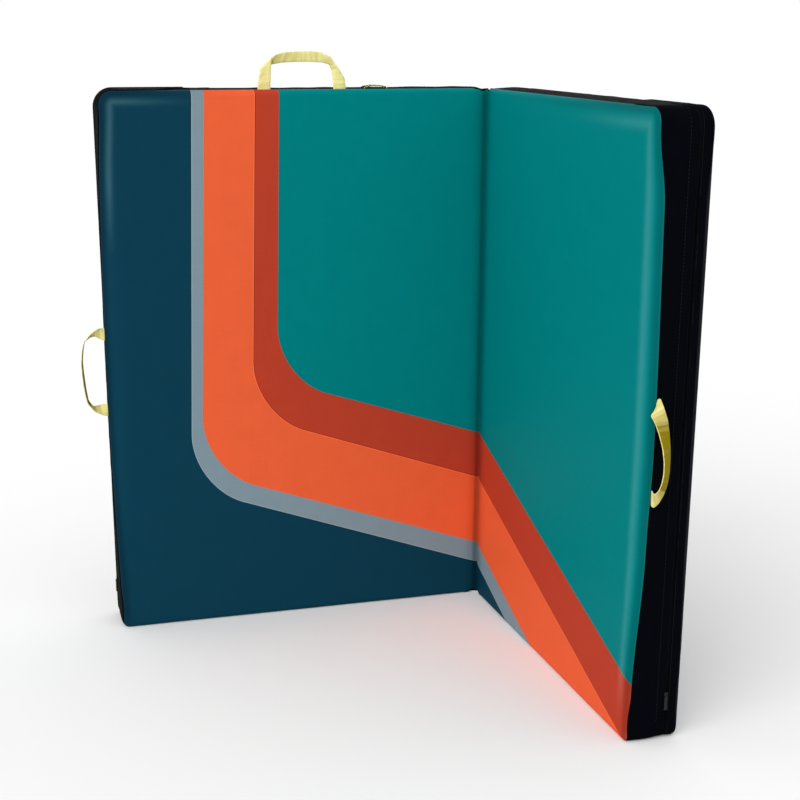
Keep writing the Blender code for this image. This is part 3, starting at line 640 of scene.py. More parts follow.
def webbing_material(name, colour, dark, wrinkle):
    """Woven webbing: a herringbone of slanting ribs, finer selvedges, wear, cross wrinkles and painted
    shade.

    The rib's phase is the place along plus the distance from the nearest rib column's middle. The
    second colour comes in with wear, as painted shade from the shade attribute, kept off the selvedges,
    and in streaks along the cross wrinkles, which on the yellow webbing are painted shade.
    """
    made = start_material(name, colour, 0.62)
    tree, shader = made[1:]
    shader.inputs["IOR"].default_value = 1.08
    spot = node(tree, "UVMap", uv_map="cloth").outputs[0]
    parts = node(tree, "SeparateXYZ", {0: spot})
    along, across = parts.outputs[0], parts.outputs[1]
    zigzag = calc(tree, "PINGPONG", calc(tree, "ADD", across, 1.0), 2.1 * MM)
    slant = calc(tree, "ADD", along, zigzag)
    ribs = calc(tree, "SINE", calc(tree, "MULTIPLY", slant, 2 * math.pi / (1.15 * MM)))
    threads = calc(tree, "SINE", calc(tree, "MULTIPLY", across, 2 * math.pi / (0.7 * MM)))
    soil = noise(tree, spot, 45, 5)
    wrinkles = noise(tree, spot, 120, 2, (1, 0.12, 1))
    colour_out = tinted(tree, (*colour, 1), ranged(tree, ribs, 0.0, 1.0, -1.0), 0.87, 1.08)
    worn = ranged(tree, soil, 0.0, 0.35, 0.55, 0.8)
    # Painted shade: the shade attribute darkens the webbing towards the second colour, except at the
    # selvedges, and the wrinkles add streaks of it.
    rim = ranged(tree, calc(tree, "ABSOLUTE", across), 1.0, 0.1, 10.6 * MM, 11.8 * MM)
    shade = calc(tree, "MULTIPLY", node(tree, "Attribute", attribute_name="shade").outputs["Fac"], rim)
    creased = ranged(tree, wrinkles, -0.1, 0.14, 0.38, 0.62)
    mixed = calc(tree, "MAXIMUM", worn, calc(tree, "ADD", shade, creased))
    colour_out = blended(tree, mixed, colour_out, (*dark, 1))
    height = calc(tree, "MULTIPLY_ADD", threads, 0.35, ribs)
    height = calc(tree, "MULTIPLY_ADD", wrinkles, wrinkle, height)
    return finish_material(made, colour_out, height, 0.7, 0.22 * MM)


def moulded(name, colour, roughness, metallic, grain, index=1.45):
    """A hard fitting: moulded or cast grain in the bump, with rubbed patches in the gloss."""
    made = start_material(name, colour, roughness)
    tree, shader = made[1:]
    shader.inputs["Metallic"].default_value = metallic
    shader.inputs["IOR"].default_value = index
    spot = node(tree, "TexCoord").outputs["Object"]
    fine, patches = noise(tree, spot, grain, 3), noise(tree, spot, 60, 4)
    gloss = ranged(tree, patches, roughness - 0.12, roughness + 0.1)
    tree.links.new(gloss, shader.inputs["Roughness"])
    return finish_material(made, tinted(tree, (*colour, 1), patches, 0.85, 1.2), fine, 0.4, 0.12 * MM)


black_thread = thread_material("black_thread", THREAD_BLACK)
zip_tape_cloth = webbing_material("zip_tape_cloth", ZIP_BLACK, ZIP_BLACK, 0.5)
nylon_coil = moulded("nylon_coil", COIL_BLACK, 0.4, 0.0, 900, 1.12)
zip_metal = moulded("zip_metal", METAL_BLACK, 0.45, 0.6, 700)

for half in HALVES:
    zip_end = diagonal(ZIP_DEPTH, 0)[0] + 4 * MM
    runs = np.arange(ZIP_START + 30 * MM, zip_end, -4 * MM)
    tape_edges = [wall_point(half, runs, over_at(half, runs, ZIP_DEPTH + way * TAPE_WIDTH / 2), -TAPE_SINK)
                  for way in (-1, 1)]
    tape = ribbon(f"zip_tape_{half}_weave", *tape_edges, TAPE_THICKNESS)
    tape.data.materials.append(zip_tape_cloth)
    runs = np.arange(ZIP_START - 2 * MM, zip_end, -TOOTH_PITCH)
    sway = 0.55 * MM * np.where(np.arange(len(runs)) % 2, 1, -1)
    over = over_at(half, runs, ZIP_DEPTH + sway)
    spots = wall_point(half, runs, over, -TOOTH_SINK)
    teeth = scattered(f"zip_coil_{half}_teeth", spots,
                      wall_point(half, runs, over + 1 * MM, -TOOTH_SINK) - spots,
                      wall_point(half, runs, over, 1 * MM - TOOTH_SINK) - spots, TOOTH)
    teeth.data.materials.append(nylon_coil)
    runs = np.arange(ZIP_START + 16 * MM, diagonal(62 * MM, 0)[0] + 6 * MM, -3 * MM)
    droop = 0.7 * MM * waves(runs, 0 * runs, 70 * MM, 60)
    flap_lift = LAP_RISE + 1.2 * MM
    flap_front = wall_point(half, runs, over_at(half, runs, FLAP_FRONT), flap_lift - 0.5 * MM)
    flap_back = wall_point(half, runs, over_at(half, runs, FLAP_BACK + droop), flap_lift + 0.8 * MM)
    flap = ribbon(f"zip_flap_{half}_cloth", flap_front, flap_back, FLAP_THICKNESS)
    flap.data.materials.append(black_nylon)
    for piece, cad_name, slot in ((tape, "zip_tape", "black_webbing"), (teeth, "zip_coil", "black_plastic"),
                                  (flap, "zip_flap", "ground_fabric")):
        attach(piece, half)
        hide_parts(f"{cad_name}_{half}")
    whole = np.arange(RUNS[8] - ROUND + 12 * MM, RUNS[3] - 4 * MM, STITCH_PITCH)
    ends = np.arange(diagonal(ZIP_DEPTH, 0)[0], diagonal(ZIP_DEPTH, 0)[1], STITCH_PITCH)
    rows = [sewn_row(half, whole, over_at(half, whole, GROUND_SEAM_DEPTH - 5.5 * MM), 0.5 * MM),
            sewn_row(half, ends, over_at(half, ends, ZIP_DEPTH + ZIP_GAP + 3 * MM), LAP_RISE - 0.2 * MM),
            sewn_row(half, runs[::2], over_at(half, runs[::2], FLAP_FRONT + 2.2 * MM), flap_lift + 0.4 * MM)]
    for end in (0, 1):
        lap_depth = np.arange(SEAM_DEPTH + 4 * MM, GROUND_SEAM_DEPTH - 2 * MM, STITCH_PITCH * 0.6)
        lap_run = diagonal(lap_depth, LAP_REACH)[end] + (3.5 * MM, -3.5 * MM)[end]
        rows.append(sewn_row(half, lap_run, over_at(half, lap_run, lap_depth), LAP_RISE + 0.2 * MM))
    add_stitches(f"wall_stitches_{half}", rows, STITCH, half, black_thread)
    for name in ("zip_slider", "zip_pull"):
        fitting = frame["nodes"][f"{name}_{half}"].data
        fitting.materials.clear()
        fitting.materials.append(zip_metal)


# Ground-side covers
# A tough nylon panel closes the back of each half. It is sewn to the walls all round, and the foam
# behind it fills it, so that it sags a little between its seams.
GROUND_REACH = 11 * MM
GROUND_DROP = 8 * MM
COVER_STEP = 8 * MM
COVER_SAG = 1.2 * MM
HEAVY_NYLON = (0.0072, 0.0080, 0.0100)


def spread(low, high, step, fine):
    """Places from low to high, with closer ones over the last 70 mm at both ends."""
    near = 70 * MM
    inner = np.linspace(low + near, high - near, int((high - low - 2 * near) / step) + 1)
    rim = np.linspace(0, near, int(near / fine) + 1)[:-1]
    return np.concatenate([low + rim, inner, high - rim[::-1]])


def round_corners(across, up, half_across, half_up, corner):
    """Bends the corner squares of a flat grid into quarter discs, so its rim has round corners.

    In a corner, each place x, y from the disc's centre becomes x times the root of 1 - y*y/2 and
    y times the root of 1 - x*x/2, in radii, which leaves the square's inner sides in place.
    """
    x = np.clip((np.abs(across) - half_across + corner) / corner, 0, 1)
    y = np.clip((np.abs(up) - half_up + corner) / corner, 0, 1)
    across = across - np.sign(across) * corner * x * (1 - np.sqrt(1 - y * y / 2))
    up = up - np.sign(up) * corner * y * (1 - np.sqrt(1 - x * x / 2))
    return across, up


def fitted(across, up, half_across, half_up, corner, reach, drop):
    """Lays flat cloth on a slab and over its edges: the new place across and up, and the fall.

    Past the slab's flat, whose corners are round too, the distance run goes over the edge.
    """
    inner = np.maximum(corner - reach, 0)
    x = np.maximum(np.abs(across) - half_across + reach + inner, 0)
    y = np.maximum(np.abs(up) - half_up + reach + inner, 0)
    far = np.maximum(np.hypot(x, y), 1e-9)
    past = np.maximum(far - inner, 0)
    on, fall = over_edge(past, reach, drop)
    back = (past - on) / far
    return across - np.sign(across) * x * back, up - np.sign(up) * y * back, fall, past


heavy_nylon = one_colour_nylon("heavy_nylon", HEAVY_NYLON, 0.6, 1.12, 2.4 * MM, 0.22, 0.5 * MM)

for number, half in enumerate(HALVES):
    half_wide = (PANEL_WIDTH - FACE_DEPTH) / 2
    centre_out = (PANEL_WIDTH + FACE_DEPTH) / 2
    turned = EDGE_ARC[-1] * GROUND_REACH / EDGE_REACH + HEM
    hem = turned - GROUND_REACH
    cloth_wide, cloth_tall = half_wide + hem, MID_HEIGHT + hem
    across, up = np.meshgrid(spread(-cloth_wide, cloth_wide, COVER_STEP, 3 * MM),
                             spread(-cloth_tall, cloth_tall, COVER_STEP, 3 * MM))
    corner = np.where(across < 0, GROUND_CORNERS[2], np.where(up > 0, GROUND_CORNERS[0], GROUND_CORNERS[1]))
    across, up = round_corners(across, up, cloth_wide, cloth_tall, corner + hem)
    uv = np.stack([across, up], -1)
    new_across, new_up, fall, past = fitted(across, up, half_wide, MID_HEIGHT, corner,
                                            GROUND_REACH, GROUND_DROP)
    rim = np.maximum(turned - past, 0)
    sag = COVER_SAG * (0.5 + 0.5 * waves(across, up, 240 * MM, 40 + number))
    sag = sag + PUCKER * 0.8 * waves(across, up, 45 * MM, 42 + number)
    sag = np.maximum(sag, 0.1 * MM) * (1 - fade(rim, 8 * MM)) + SEAM_DIP * fade(rim, 1.4 * MM)
    depth = GROUND_DEPTH - fall - sag * (fall < GROUND_DROP * 0.6)
    points = place(half, centre_out + new_across, depth, MID_HEIGHT + new_up)
    middle = place(half, PANEL_WIDTH / 2, GROUND_DEPTH / 2, MID_HEIGHT)
    cover = new_piece(f"ground_cover_{half}_cloth", points, grid_faces(*across.shape), uv, inside=middle)
    cover.data.materials.append(heavy_nylon)
    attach(cover, half)
    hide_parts(f"ground_cover_{half}")


# Landing skin
# One sheet of dyed nylon, sewn from striped panels, covers both landing faces and runs across the
# fold. The closed-cell slab stretches it flat, and it creases where the halves meet.
CREASE = 4 * MM
CREASE_TIGHT = 3.5 * MM
CREASE_SOFT = 14 * MM
CREASE_TIGHT_SHARE = 0.28
FAN = 10 * MM
SKIN_STEP = 7 * MM
SKIN_FINE = 2.2 * MM
NEAR_FOLD = 25 * MM
CREASE_REACH = 60 * MM
FOLD_DIP, DIP_PLACE, DIP_WIDTH = 5 * MM, 9 * MM, 7 * MM
DIP_SHARPNESS = 30
STRAIGHTEN = 2.6
NAVY = (0.0036, 0.039, 0.068)
GRAY = (0.190, 0.258, 0.297)
ORANGE = (0.745, 0.108, 0.036)
RUST = (0.430, 0.045, 0.021)
TEAL = (0.0, 0.182, 0.186)
# Painted highlight: a pale colour mixed into the landing cloth, and its share where it is strongest
BAND_LIGHT = (0.42, 0.95, 1.0)
BAND_SHARE = 0.055
# Each stripe edge: distance out at the top and 440 mm down, height lost by the fold, slope, bend, the
# colour above it, and how far the overlap's painted highlight lies above or below it, its painted shadow
# opposite
EDGES = (
    (-589 * MM, -603 * MM, 997 * MM, 0.352, 108 * MM, GRAY, 1),
    (-565 * MM, -580 * MM, 952 * MM, 0.347, 108 * MM, ORANGE, 0),
    (-467 * MM, -479 * MM, 805 * MM, 0.344, 108 * MM, RUST, -1),
    (-420 * MM, -430 * MM, 707 * MM, 0.322, 104 * MM, TEAL, 0),
)
EDGE_LOWER_AT = 440 * MM
# On the strap half and on the plain half: the place of the bend's painted highlight in from the rim
# and its width, how high up the side it starts and over what length, how far it and the painted
# shade of the rim run along the top, and the shares and widths of the painted shade beside the fold
BEND_PLACES, BEND_WIDTHS = (24 * MM, 31 * MM), (6 * MM, 9 * MM)
SIDE_BANDS = ((760 * MM, 140 * MM), (40 * MM, 90 * MM))
TOP_BANDS, TOP_DARKS = (110 * MM, 190 * MM), (170 * MM, 420 * MM)
FOLD_DARKS = (((0.30, 8 * MM), (0.12, 20 * MM)), ((0.38, 27 * MM),))
# Painted shade of the rim: how far in from the seam it reaches, and its share
DARK_REACH = 15 * MM
EDGE_DARK = 0.42
# Width of the painted highlight and painted shadow lines at an overlapped stripe edge
OVERLAP = 1.3 * MM


def run_at(across, up):
    """The run round a half's outline next to a place on the skin's rim.

    Within 50 mm of a corner, the angle about its middle gives the share between both sides.
    """
    box = 50 * MM
    x = np.maximum(np.abs(across) - PANEL_WIDTH + box, 0)
    y = np.maximum(np.abs(up) - MID_HEIGHT + box, 0)
    to_top = np.maximum(PANEL_WIDTH - box - np.abs(across), 0)
    to_side = np.maximum(MID_HEIGHT - box - np.abs(up), 0)
    turn = np.arctan2(x, np.maximum(y, 1e-9)) / (math.pi / 2)

    def corner_run(first, last, radius):
        """The run along both sides of a corner, and by the share turned between them."""
        begin, finish = first - box + radius, last + box - radius
        on_corner = begin + (finish - begin) * turn
        return np.where(x <= 0, begin - to_top, np.where(y <= 0, finish + to_side, on_corner))

    upper = corner_run(RUNS[1], RUNS[2], GROUND_CORNERS[0])
    below = RUNS[3] + RUNS[4] - corner_run(RUNS[3], RUNS[4], GROUND_CORNERS[1])
    return np.where(up > 0, upper, below)


def bell(distance, width):
    """A share that falls off both ways: the exponential of minus its squared ratio to a width."""
    return np.exp(-(distance / width) ** 2)


def by_half(across, values):
    """The first value on the strap half, where across is negative, and the second elsewhere."""
    return np.where(across < 0, *values)


def skin_place(across, up, lift=0.0):
    """Puts cloth of the landing skin, measured from the fold and mid height, on the two halves.

    Across is negative on the strap half. The crease is a sum of a narrow and a wide dip, and its
    way back turns towards the other half, so that both sides meet on the bisector.
    """
    corner = np.where(up > 0, FACE_CORNERS[0], FACE_CORNERS[1])
    shapes = [edge_shape(half, run_at(across, up)) for half in HALVES]
    reach, drop = (by_half(across, values) for values in zip(*shapes))
    near_fold = bell(across, NEAR_FOLD)
    both = [0.5 * (first + second) for first, second in zip(*shapes)]
    reach = reach * (1 - near_fold) + both[0] * near_fold
    drop = drop * (1 - near_fold) + 0.6 * both[1] * near_fold
    out, high, fall, past = fitted(across, up, PANEL_WIDTH, MID_HEIGHT, corner, reach, drop)
    away = np.abs(out)
    crease = (CREASE_TIGHT_SHARE * fade(away, CREASE_TIGHT)
              + (1 - CREASE_TIGHT_SHARE) * bell(away, CREASE_SOFT))
    out = away - CREASE * bell(away, CREASE_REACH)
    depth = FACE_DEPTH + (CREASE - FACE_DEPTH) * crease
    turn = math.pi / 4 * bell(away, FAN)
    by_end = np.clip(np.abs(high) / MID_HEIGHT, 0, 1) ** DIP_SHARPNESS
    dip = FOLD_DIP * bell(away - DIP_PLACE, DIP_WIDTH) * by_end
    back = fall - lift
    out = out - np.sin(turn) * back
    depth = depth + np.cos(turn) * back
    height = MID_HEIGHT + high - np.sign(high) * dip
    out = bowed(out, depth, height)
    flat = np.stack([by_half(across, (-out, out + STRAIGHTEN * fall)), height], -1)
    points = by_half(across[..., None], [place(half, out, depth, height) for half in HALVES])
    return points, past, flat


def skin_seam(across, up):
    """The cloth's run over the edge to the seam, on either half."""
    run = run_at(across, up)
    return by_half(across, [seam_over(half, run) for half in HALVES]), edge_shape(STRAP, run)[0]


overhang = EDGE_ARC[-1] + HEM - EDGE_REACH
skin_wide, skin_tall = PANEL_WIDTH + overhang, MID_HEIGHT + overhang
outward = spread(0, skin_wide, SKIN_STEP, SKIN_FINE)
fold_side = np.concatenate([np.arange(0, 12, 1.2), np.arange(12, 30, 1.8), np.arange(30, 70, 3.5)]) * MM
outward = np.concatenate([fold_side, outward[outward >= 70 * MM]])
across, up = np.meshgrid(np.concatenate([-outward[::-1], outward[1:]]),
                         spread(-skin_tall, skin_tall, SKIN_STEP, SKIN_FINE))
corner = np.where(up > 0, FACE_CORNERS[0], FACE_CORNERS[1])
across, up = round_corners(across, up, skin_wide, skin_tall, corner + overhang)
seam, reach = skin_seam(across, up)
x = np.maximum(np.abs(across) - PANEL_WIDTH + corner, 0)
y = np.maximum(np.abs(up) - MID_HEIGHT + corner, 0)
far = np.maximum(np.hypot(x, y), 1e-9)
pull = (overhang - seam + reach) * np.clip(far / (corner + overhang), 0, 1) ** 2 / far
across, up = across - np.sign(across) * x * pull, up - np.sign(up) * y * pull
_, past, _ = skin_place(across, up)
rim = np.maximum(skin_seam(across, up)[0] - past, 0)
lift = (0.35 * MM * waves(across, up, 260 * MM, 50)
        + 0.3 * MM * waves(across, up, 30 * MM, 51) * fade(rim, 14 * MM))
lift = lift * (1 - fade(rim, 5 * MM)) - 0.6 * SEAM_DIP * fade(rim, 1.3 * MM)
points, _, stripe_spots = skin_place(across, up, lift)
skin = new_piece("landing_skin", points, grid_faces(*across.shape), np.stack([across, up], -1),
                 inside=(FOLD_X + PANEL_WIDTH, FOLD_Y + PANEL_WIDTH, MID_HEIGHT))
corners = np.zeros(len(skin.data.loops), int)
skin.data.loops.foreach_get("vertex_index", corners)
layer = skin.data.uv_layers.new(name="stripes")
layer.data.foreach_set("uv", stripe_spots.reshape(-1, 2)[corners].astype(np.float32).ravel())


# A painted highlight lies on the bend of the outer edges, and painted shade on the cloth beyond it
# and in the crease. The distance to the rim is that of a rectangle with round corners.
height = MID_HEIGHT + up
from_side, from_top = PANEL_WIDTH - np.abs(across), MID_HEIGHT - np.abs(up)
past_corner = np.hypot(np.maximum(corner - from_side, 0), np.maximum(corner - from_top, 0))
inside = np.minimum(np.maximum(corner - from_side, corner - from_top), 0)
to_rim = corner + seam - reach - past_corner - inside
on_side = soft_step(from_side - from_top, 6 * MM)
side_band = by_half(across, [np.clip((height - start) / length, 0, 1) for start, length in SIDE_BANDS])
top_band, top_dark = (bell(np.maximum(from_side, 0), by_half(across, reaches)) * (up > 0)
                      for reaches in (TOP_BANDS, TOP_DARKS))
bend = bell(to_rim - by_half(across, BEND_PLACES), by_half(across, BEND_WIDTHS))
band = (side_band * on_side + top_band * (1 - on_side)) * bend
# A thin painted highlight also runs along the seam itself.
band = band + 0.7 * bell(to_rim, 1.8 * MM)
# Painted shade near the seam, all along the sides and on part of the top
edge = (on_side + top_dark * (1 - on_side)) * soft_step(to_rim - DARK_REACH, 2.5 * MM)
# Painted shade beside the crease, with faint ripples in it
away = np.maximum(np.abs(across) - CREASE, 0)
fold = by_half(across, [sum(share * bell(away, width) for share, width in shades) for shades in FOLD_DARKS])
fold = fold * (1 + 0.25 * np.sin(away / (2.1 * MM)) * bell(away, 22 * MM))
# The painted highlight and the painted shade are stored on the skin's points for its material.
for name, values in (("band", band), ("dark", 1 - (1 - EDGE_DARK * edge) * (1 - fold))):
    attribute = skin.data.attributes.new(name, "FLOAT", "POINT")
    attribute.data.foreach_set("value", values.astype(np.float32).ravel())


def stripe_distance(tree, out, down, edge):
    """How far a place lies above and to the right of a stripe's edge, and below it if negative.

    The edge is a leaning upright and a sloping line, joined by a bend: both distances are cut
    off at the bend's size, and their hypotenuse is taken from it.
    """
    top, lower, at_fold, slope, bend = edge[:5]
    upright = calc(tree, "MULTIPLY_ADD", down, (lower - top) / EDGE_LOWER_AT, top)
    beside = calc(tree, "SUBTRACT", out, upright)
    line = calc(tree, "MULTIPLY_ADD", out, slope, at_fold)
    above = calc(tree, "MULTIPLY", calc(tree, "SUBTRACT", line, down), math.cos(math.atan(slope)))
    short = [calc(tree, "MAXIMUM", calc(tree, "SUBTRACT", bend, d), 0.0) for d in (beside, above)]
    squares = [calc(tree, "MULTIPLY", s, s) for s in short]
    return calc(tree, "SUBTRACT", bend, calc(tree, "SQRT", calc(tree, "ADD", *squares)))


def near(tree, distance, middle, width):
    """1 where a distance is within half a width of a middle, else 0."""
    return calc(tree, "COMPARE", distance, middle, width / 2)


made, spot = coated_nylon("landing_stripes", TEAL, 0.5, 1.06)
tree = made[1]
parts = node(tree, "SeparateXYZ", {0: node(tree, "UVMap", uv_map="stripes").outputs[0]})
out, down = parts.outputs[0], calc(tree, "SUBTRACT", PANEL_HEIGHT, parts.outputs[1])
colour_out = (*NAVY, 1)
for edge in EDGES:
    distance = stripe_distance(tree, out, down, edge)
    colour_out = blended(tree, calc(tree, "GREATER_THAN", distance, 0.0), colour_out, (*edge[5], 1))
    # At an overlapped edge a painted highlight and a painted shadow stand for the seam's relief.
    if edge[6]:
        light = near(tree, distance, edge[6] * OVERLAP * 0.6, OVERLAP)
        shade = near(tree, distance, -edge[6] * OVERLAP * 0.6, OVERLAP)
        colour_out = tinted(tree, colour_out, light, 1.0, 1.35)
        colour_out = tinted(tree, colour_out, shade, 1.0, 0.55)
# The painted shade darkens the cloth's colour, and the painted highlight mixes a pale colour into it.
kept = calc(tree, "SUBTRACT", 1.0, node(tree, "Attribute", attribute_name="dark").outputs["Fac"])
colour_out = tinted(tree, colour_out, kept, 0.0, 1.0)
light = calc(tree, "MULTIPLY", node(tree, "Attribute", attribute_name="band").outputs["Fac"], BAND_SHARE)
colour_out = blended(tree, light, colour_out, (*BAND_LIGHT, 1))
landing_stripes = finish_nylon(made, spot, colour_out, 1.5 * MM, 0.05, 0.16 * MM)
skin.data.materials.append(landing_stripes)
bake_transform(skin)
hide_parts("landing_cover_strap_half", "landing_cover_plain_half")


# Fold lining
# A black strip is sewn behind the crease from half to half and carries the fold. Its ends stand a
# little above the landing cloth.
LINING_REACH = 26 * MM
LINING_BEHIND = 2.2 * MM
LINING_THICKNESS = 1.2 * MM

lining_tall = MID_HEIGHT - 3 * MM
across, up = np.meshgrid(np.linspace(-LINING_REACH, LINING_REACH, 53),
                         np.linspace(-lining_tall, lining_tall, 120))
points = skin_place(across, up, -LINING_BEHIND)[0]
points[..., 2] = MID_HEIGHT + (points[..., 2] - MID_HEIGHT) * MID_HEIGHT / (MID_HEIGHT - 4 * MM)
back_points = skin_place(across, up, -LINING_BEHIND - LINING_THICKNESS)[0]
back_points[..., 2] = points[..., 2]
uv = np.stack([across, up], -1)
lining = tube("fold_lining", np.concatenate([points, back_points[:, ::-1]], 1),
              np.concatenate([uv, uv[:, ::-1], uv[:, :1]], 1))
lining.data.materials.append(black_nylon)
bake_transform(lining)
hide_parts("hinge_leaf_strap_half", "hinge_leaf_plain_half")


# Handles
# Three loops of light yellow webbing are sewn into the landing seam by their feet. The side
# handles twist so that their grips lie flat in the hand, and the top one is folded at one corner.
WEBBING_THICKNESS = 1.6 * MM
HANDLE_HEIGHTS = {STRAP: 532 * MM, PLAIN: 521 * MM}
TOP_HANDLE_OUT = 370 * MM
SEAM_OUT = PANEL_WIDTH + SIDE_BOW + 0.6 * MM
TACK = (2.3 * MM, 0.8 * MM, 0.6 * MM)
TACKS_IN_ROW = 10
TACK_STEPS = (13, 18)
TACK_RISE = 0.95 * MM
YELLOW = (1.0, 0.91, 0.370)
OLIVE = (0.270, 0.205, 0.004)
YELLOW_THREAD = (0.83, 0.80, 0.42)
# Both edges of each handle in millimetres: place along the seam, rise from it and lean back
TOP_HANDLE = (
    (87.5, -4, 0, 62.5, -4, 0), (87.5, 3, 0, 62.5, 3, 0), (85, 21.9, -2, 61.5, 26.4, -2),
    (82.8, 33.2, -3, 60.2, 52.5, -3), (81.8, 36.4, -2.2, 59.2, 56.5, -2.2),
    (82.4, 37.6, 0, 59.8, 57.7, 0), (80.5, 38, 2, 58, 58.5, 2), (62, 45, 3, 50, 63.5, 2),
    (40, 49, 3, 34, 68, 1), (10, 50.5, 2, 10, 69.8, 0), (-20, 50.5, 2, -18, 70, 0),
    (-42, 49, 3, -38, 68.5, -1), (-56, 45.5, 6, -55, 60.5, -5), (-60, 35.7, 5, -72, 37.5, -8),
    (-61.5, 19.4, 2, -84.5, 19.7, -3), (-62.5, 3, 0, -87.5, 3, 0), (-62.5, -4, 0, -87.5, -4, 0),
)
STRAP_HANDLE = (
    (87.5, -4, 0, 62.5, -4, 0), (88, 4, 0, 64, 4, 0), (88.5, 13, -6, 71, 17, 8), (77, 30, -11, 69, 26, 11.5),
    (61.5, 41, -12.5, 61, 37, 12.3), (45, 44.5, -12.3, 45, 40.5, 12.2), (22, 47, -12.3, 22, 43, 12.2),
    (0, 46.5, -12.3, 0, 42, 12.2), (-30, 44, -12.3, -30, 39.5, 12.2), (-58, 39.5, -12, -57, 36, 12),
    (-75, 27, -11, -70, 27, 12), (-82, 16, -8, -68, 16, 12), (-87, 7, -3, -64, 8, 4), (-88, 0, 0, -63, 0, 0),
    (-87.5, -4, 0, -62.5, -4, 0),
)
PLAIN_HANDLE = (
    (87.5, -4, 0, 62.5, -4, 0), (90, 2, 2, 66, 2, -1), (93, 5, 3, 71, 4, -6), (79, 12, 7, 66, 10, -15),
    (60, 22, 10, 58, 24, -14), (40, 30, 10, 42, 37, -12), (18, 36, 10, 20, 47, -9),
    (-4, 38, 10, -2, 51, -7), (-26, 36, 11, -22, 50, -6), (-46, 31, 11, -40, 45, -6),
    (-66, 24, 9, -54, 36, -6), (-82, 16, 6, -62, 24, -5), (-92, 7, 2, -66, 12, -3),
    (-91, 2, 0, -65, 2, 0), (-87.5, -4, 0, -62.5, -4, 0),
)
# How far each handle is darkened towards olive along its length, where 1 is all olive: painted shade,
# which on the plain handle's grip also stands for a darker gold of the cloth
SHADE_PLACES = (0, 0.12, 0.2, 0.3, 0.45, 0.6, 0.72, 0.8, 0.88, 1)
SHADES = {
    "top_handle": (0.0, 0.0, 0.04, 0.5, 0.26, 0.1, 0.03, 0.05, 0.0, 0.0),
    "strap_side_handle": (0.15, 0.2, 0.5, 9.0, 9.0, 9.0, 9.0, 0.5, 0.2, 0.1),
    "plain_side_handle": (0.1, 0.25, 0.55, 1.0, 1.05, 1.05, 1.0, 0.65, 0.35, 0.15),
}


def handle_edges(table, step=0.8 * MM, blur=5):
    """Both edges of a handle at even steps, from its table, with the corners blurred a little."""
    table = np.array(table, float) * MM
    moves = np.diff(table, axis=0)
    moved = np.maximum(np.linalg.norm(moves[:, :3], axis=1), np.linalg.norm(moves[:, 3:], axis=1))
    run = np.concatenate([[0], np.cumsum(moved)])
    even = np.arange(0, run[-1], step)
    edges = np.stack([np.interp(even, run, column) for column in table.T], 1)
    padded_edges = np.pad(edges, ((blur, blur), (0, 0)), mode="edge")
    window = np.ones(2 * blur + 1) / (2 * blur + 1)
    return np.stack([np.convolve(column, window, "valid") for column in padded_edges.T], 1)


yellow_webbing = webbing_material("yellow_webbing", YELLOW, OLIVE, 3.0)
yellow_thread = thread_material("yellow_thread", YELLOW_THREAD)

for node_name, table, half, body in (("top_handle_strap_half", TOP_HANDLE, STRAP, "top_handle"),
                                     ("side_handle_strap_half", STRAP_HANDLE, STRAP, "strap_side_handle"),
                                     ("side_handle_plain_half", PLAIN_HANDLE, PLAIN, "plain_side_handle")):
    edges = handle_edges(table, blur=3 if body == "top_handle" else 6)

    def on_half(along, rise, lean):
        """A place of this handle in the row frame."""
        if body == "top_handle":
            return place(half, TOP_HANDLE_OUT + along, SEAM_DEPTH + lean, PANEL_HEIGHT + 0.4 * MM + rise)
        return place(half, SEAM_OUT + rise, SEAM_DEPTH + lean, HANDLE_HEIGHTS[half] + along)

    first, second = on_half(*edges[:, :3].T), on_half(*edges[:, 3:].T)
    loop = ribbon(f"{node_name}_webbing", first, second, WEBBING_THICKNESS, 0.15 * MM)
    loop.data.materials.append(yellow_webbing)
    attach(loop, body)
    # Painted shade along the handle, stored on its points for the webbing's material
    tone = np.interp(np.linspace(0, 1, len(edges)), SHADE_PLACES, SHADES[body])
    ring_points = len(loop.data.vertices) // len(edges)
    shade = loop.data.attributes.new("shade", "FLOAT", "POINT")
    shade.data.foreach_set("value", np.repeat(tone, ring_points).astype(np.float32))
    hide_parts(node_name)
    rows = []
    low, high = TACK_STEPS
    for foot in (np.arange(low, high), np.arange(len(edges) - high, len(edges) - low)):
        for step in foot[::2]:
            along = second[step] - first[step]
            line = first[step] + along * np.linspace(0.08, 0.92, TACKS_IN_ROW)[:, None]
            up = np.cross(along, first[step + 1] - first[step - 1])
            up = up / np.linalg.norm(up)
            for way in (-1, 1):
                spots = line + way * up * TACK_RISE
                rows.append((spots, *(np.repeat([value], TACKS_IN_ROW, 0) for value in (along, up * way))))
    add_stitches(f"{node_name}_tacks", rows, TACK, body, yellow_thread)


# Edge tab
# A short loop of dark webbing lies on the top edge beside the handle, held by a wavering row of
# yellow stitches along its front.
TAB_OUT = 221 * MM
TAB_HALF = 24 * MM
TAB_ARCH = 4.6 * MM
TAB_STITCHES = 17
TAB_STITCH = (4.6 * MM, 2.0 * MM, 1.8 * MM)
TAB_FRONT, TAB_BACK = 24 * MM, 47.5 * MM
TAB_THICKNESS = 1.5 * MM
WEBBING_BLACK, WORN_BLACK = (0.010, 0.011, 0.015), (0.02, 0.02, 0.024)
LIME_THREAD = (0.62, 0.70, 0.10)

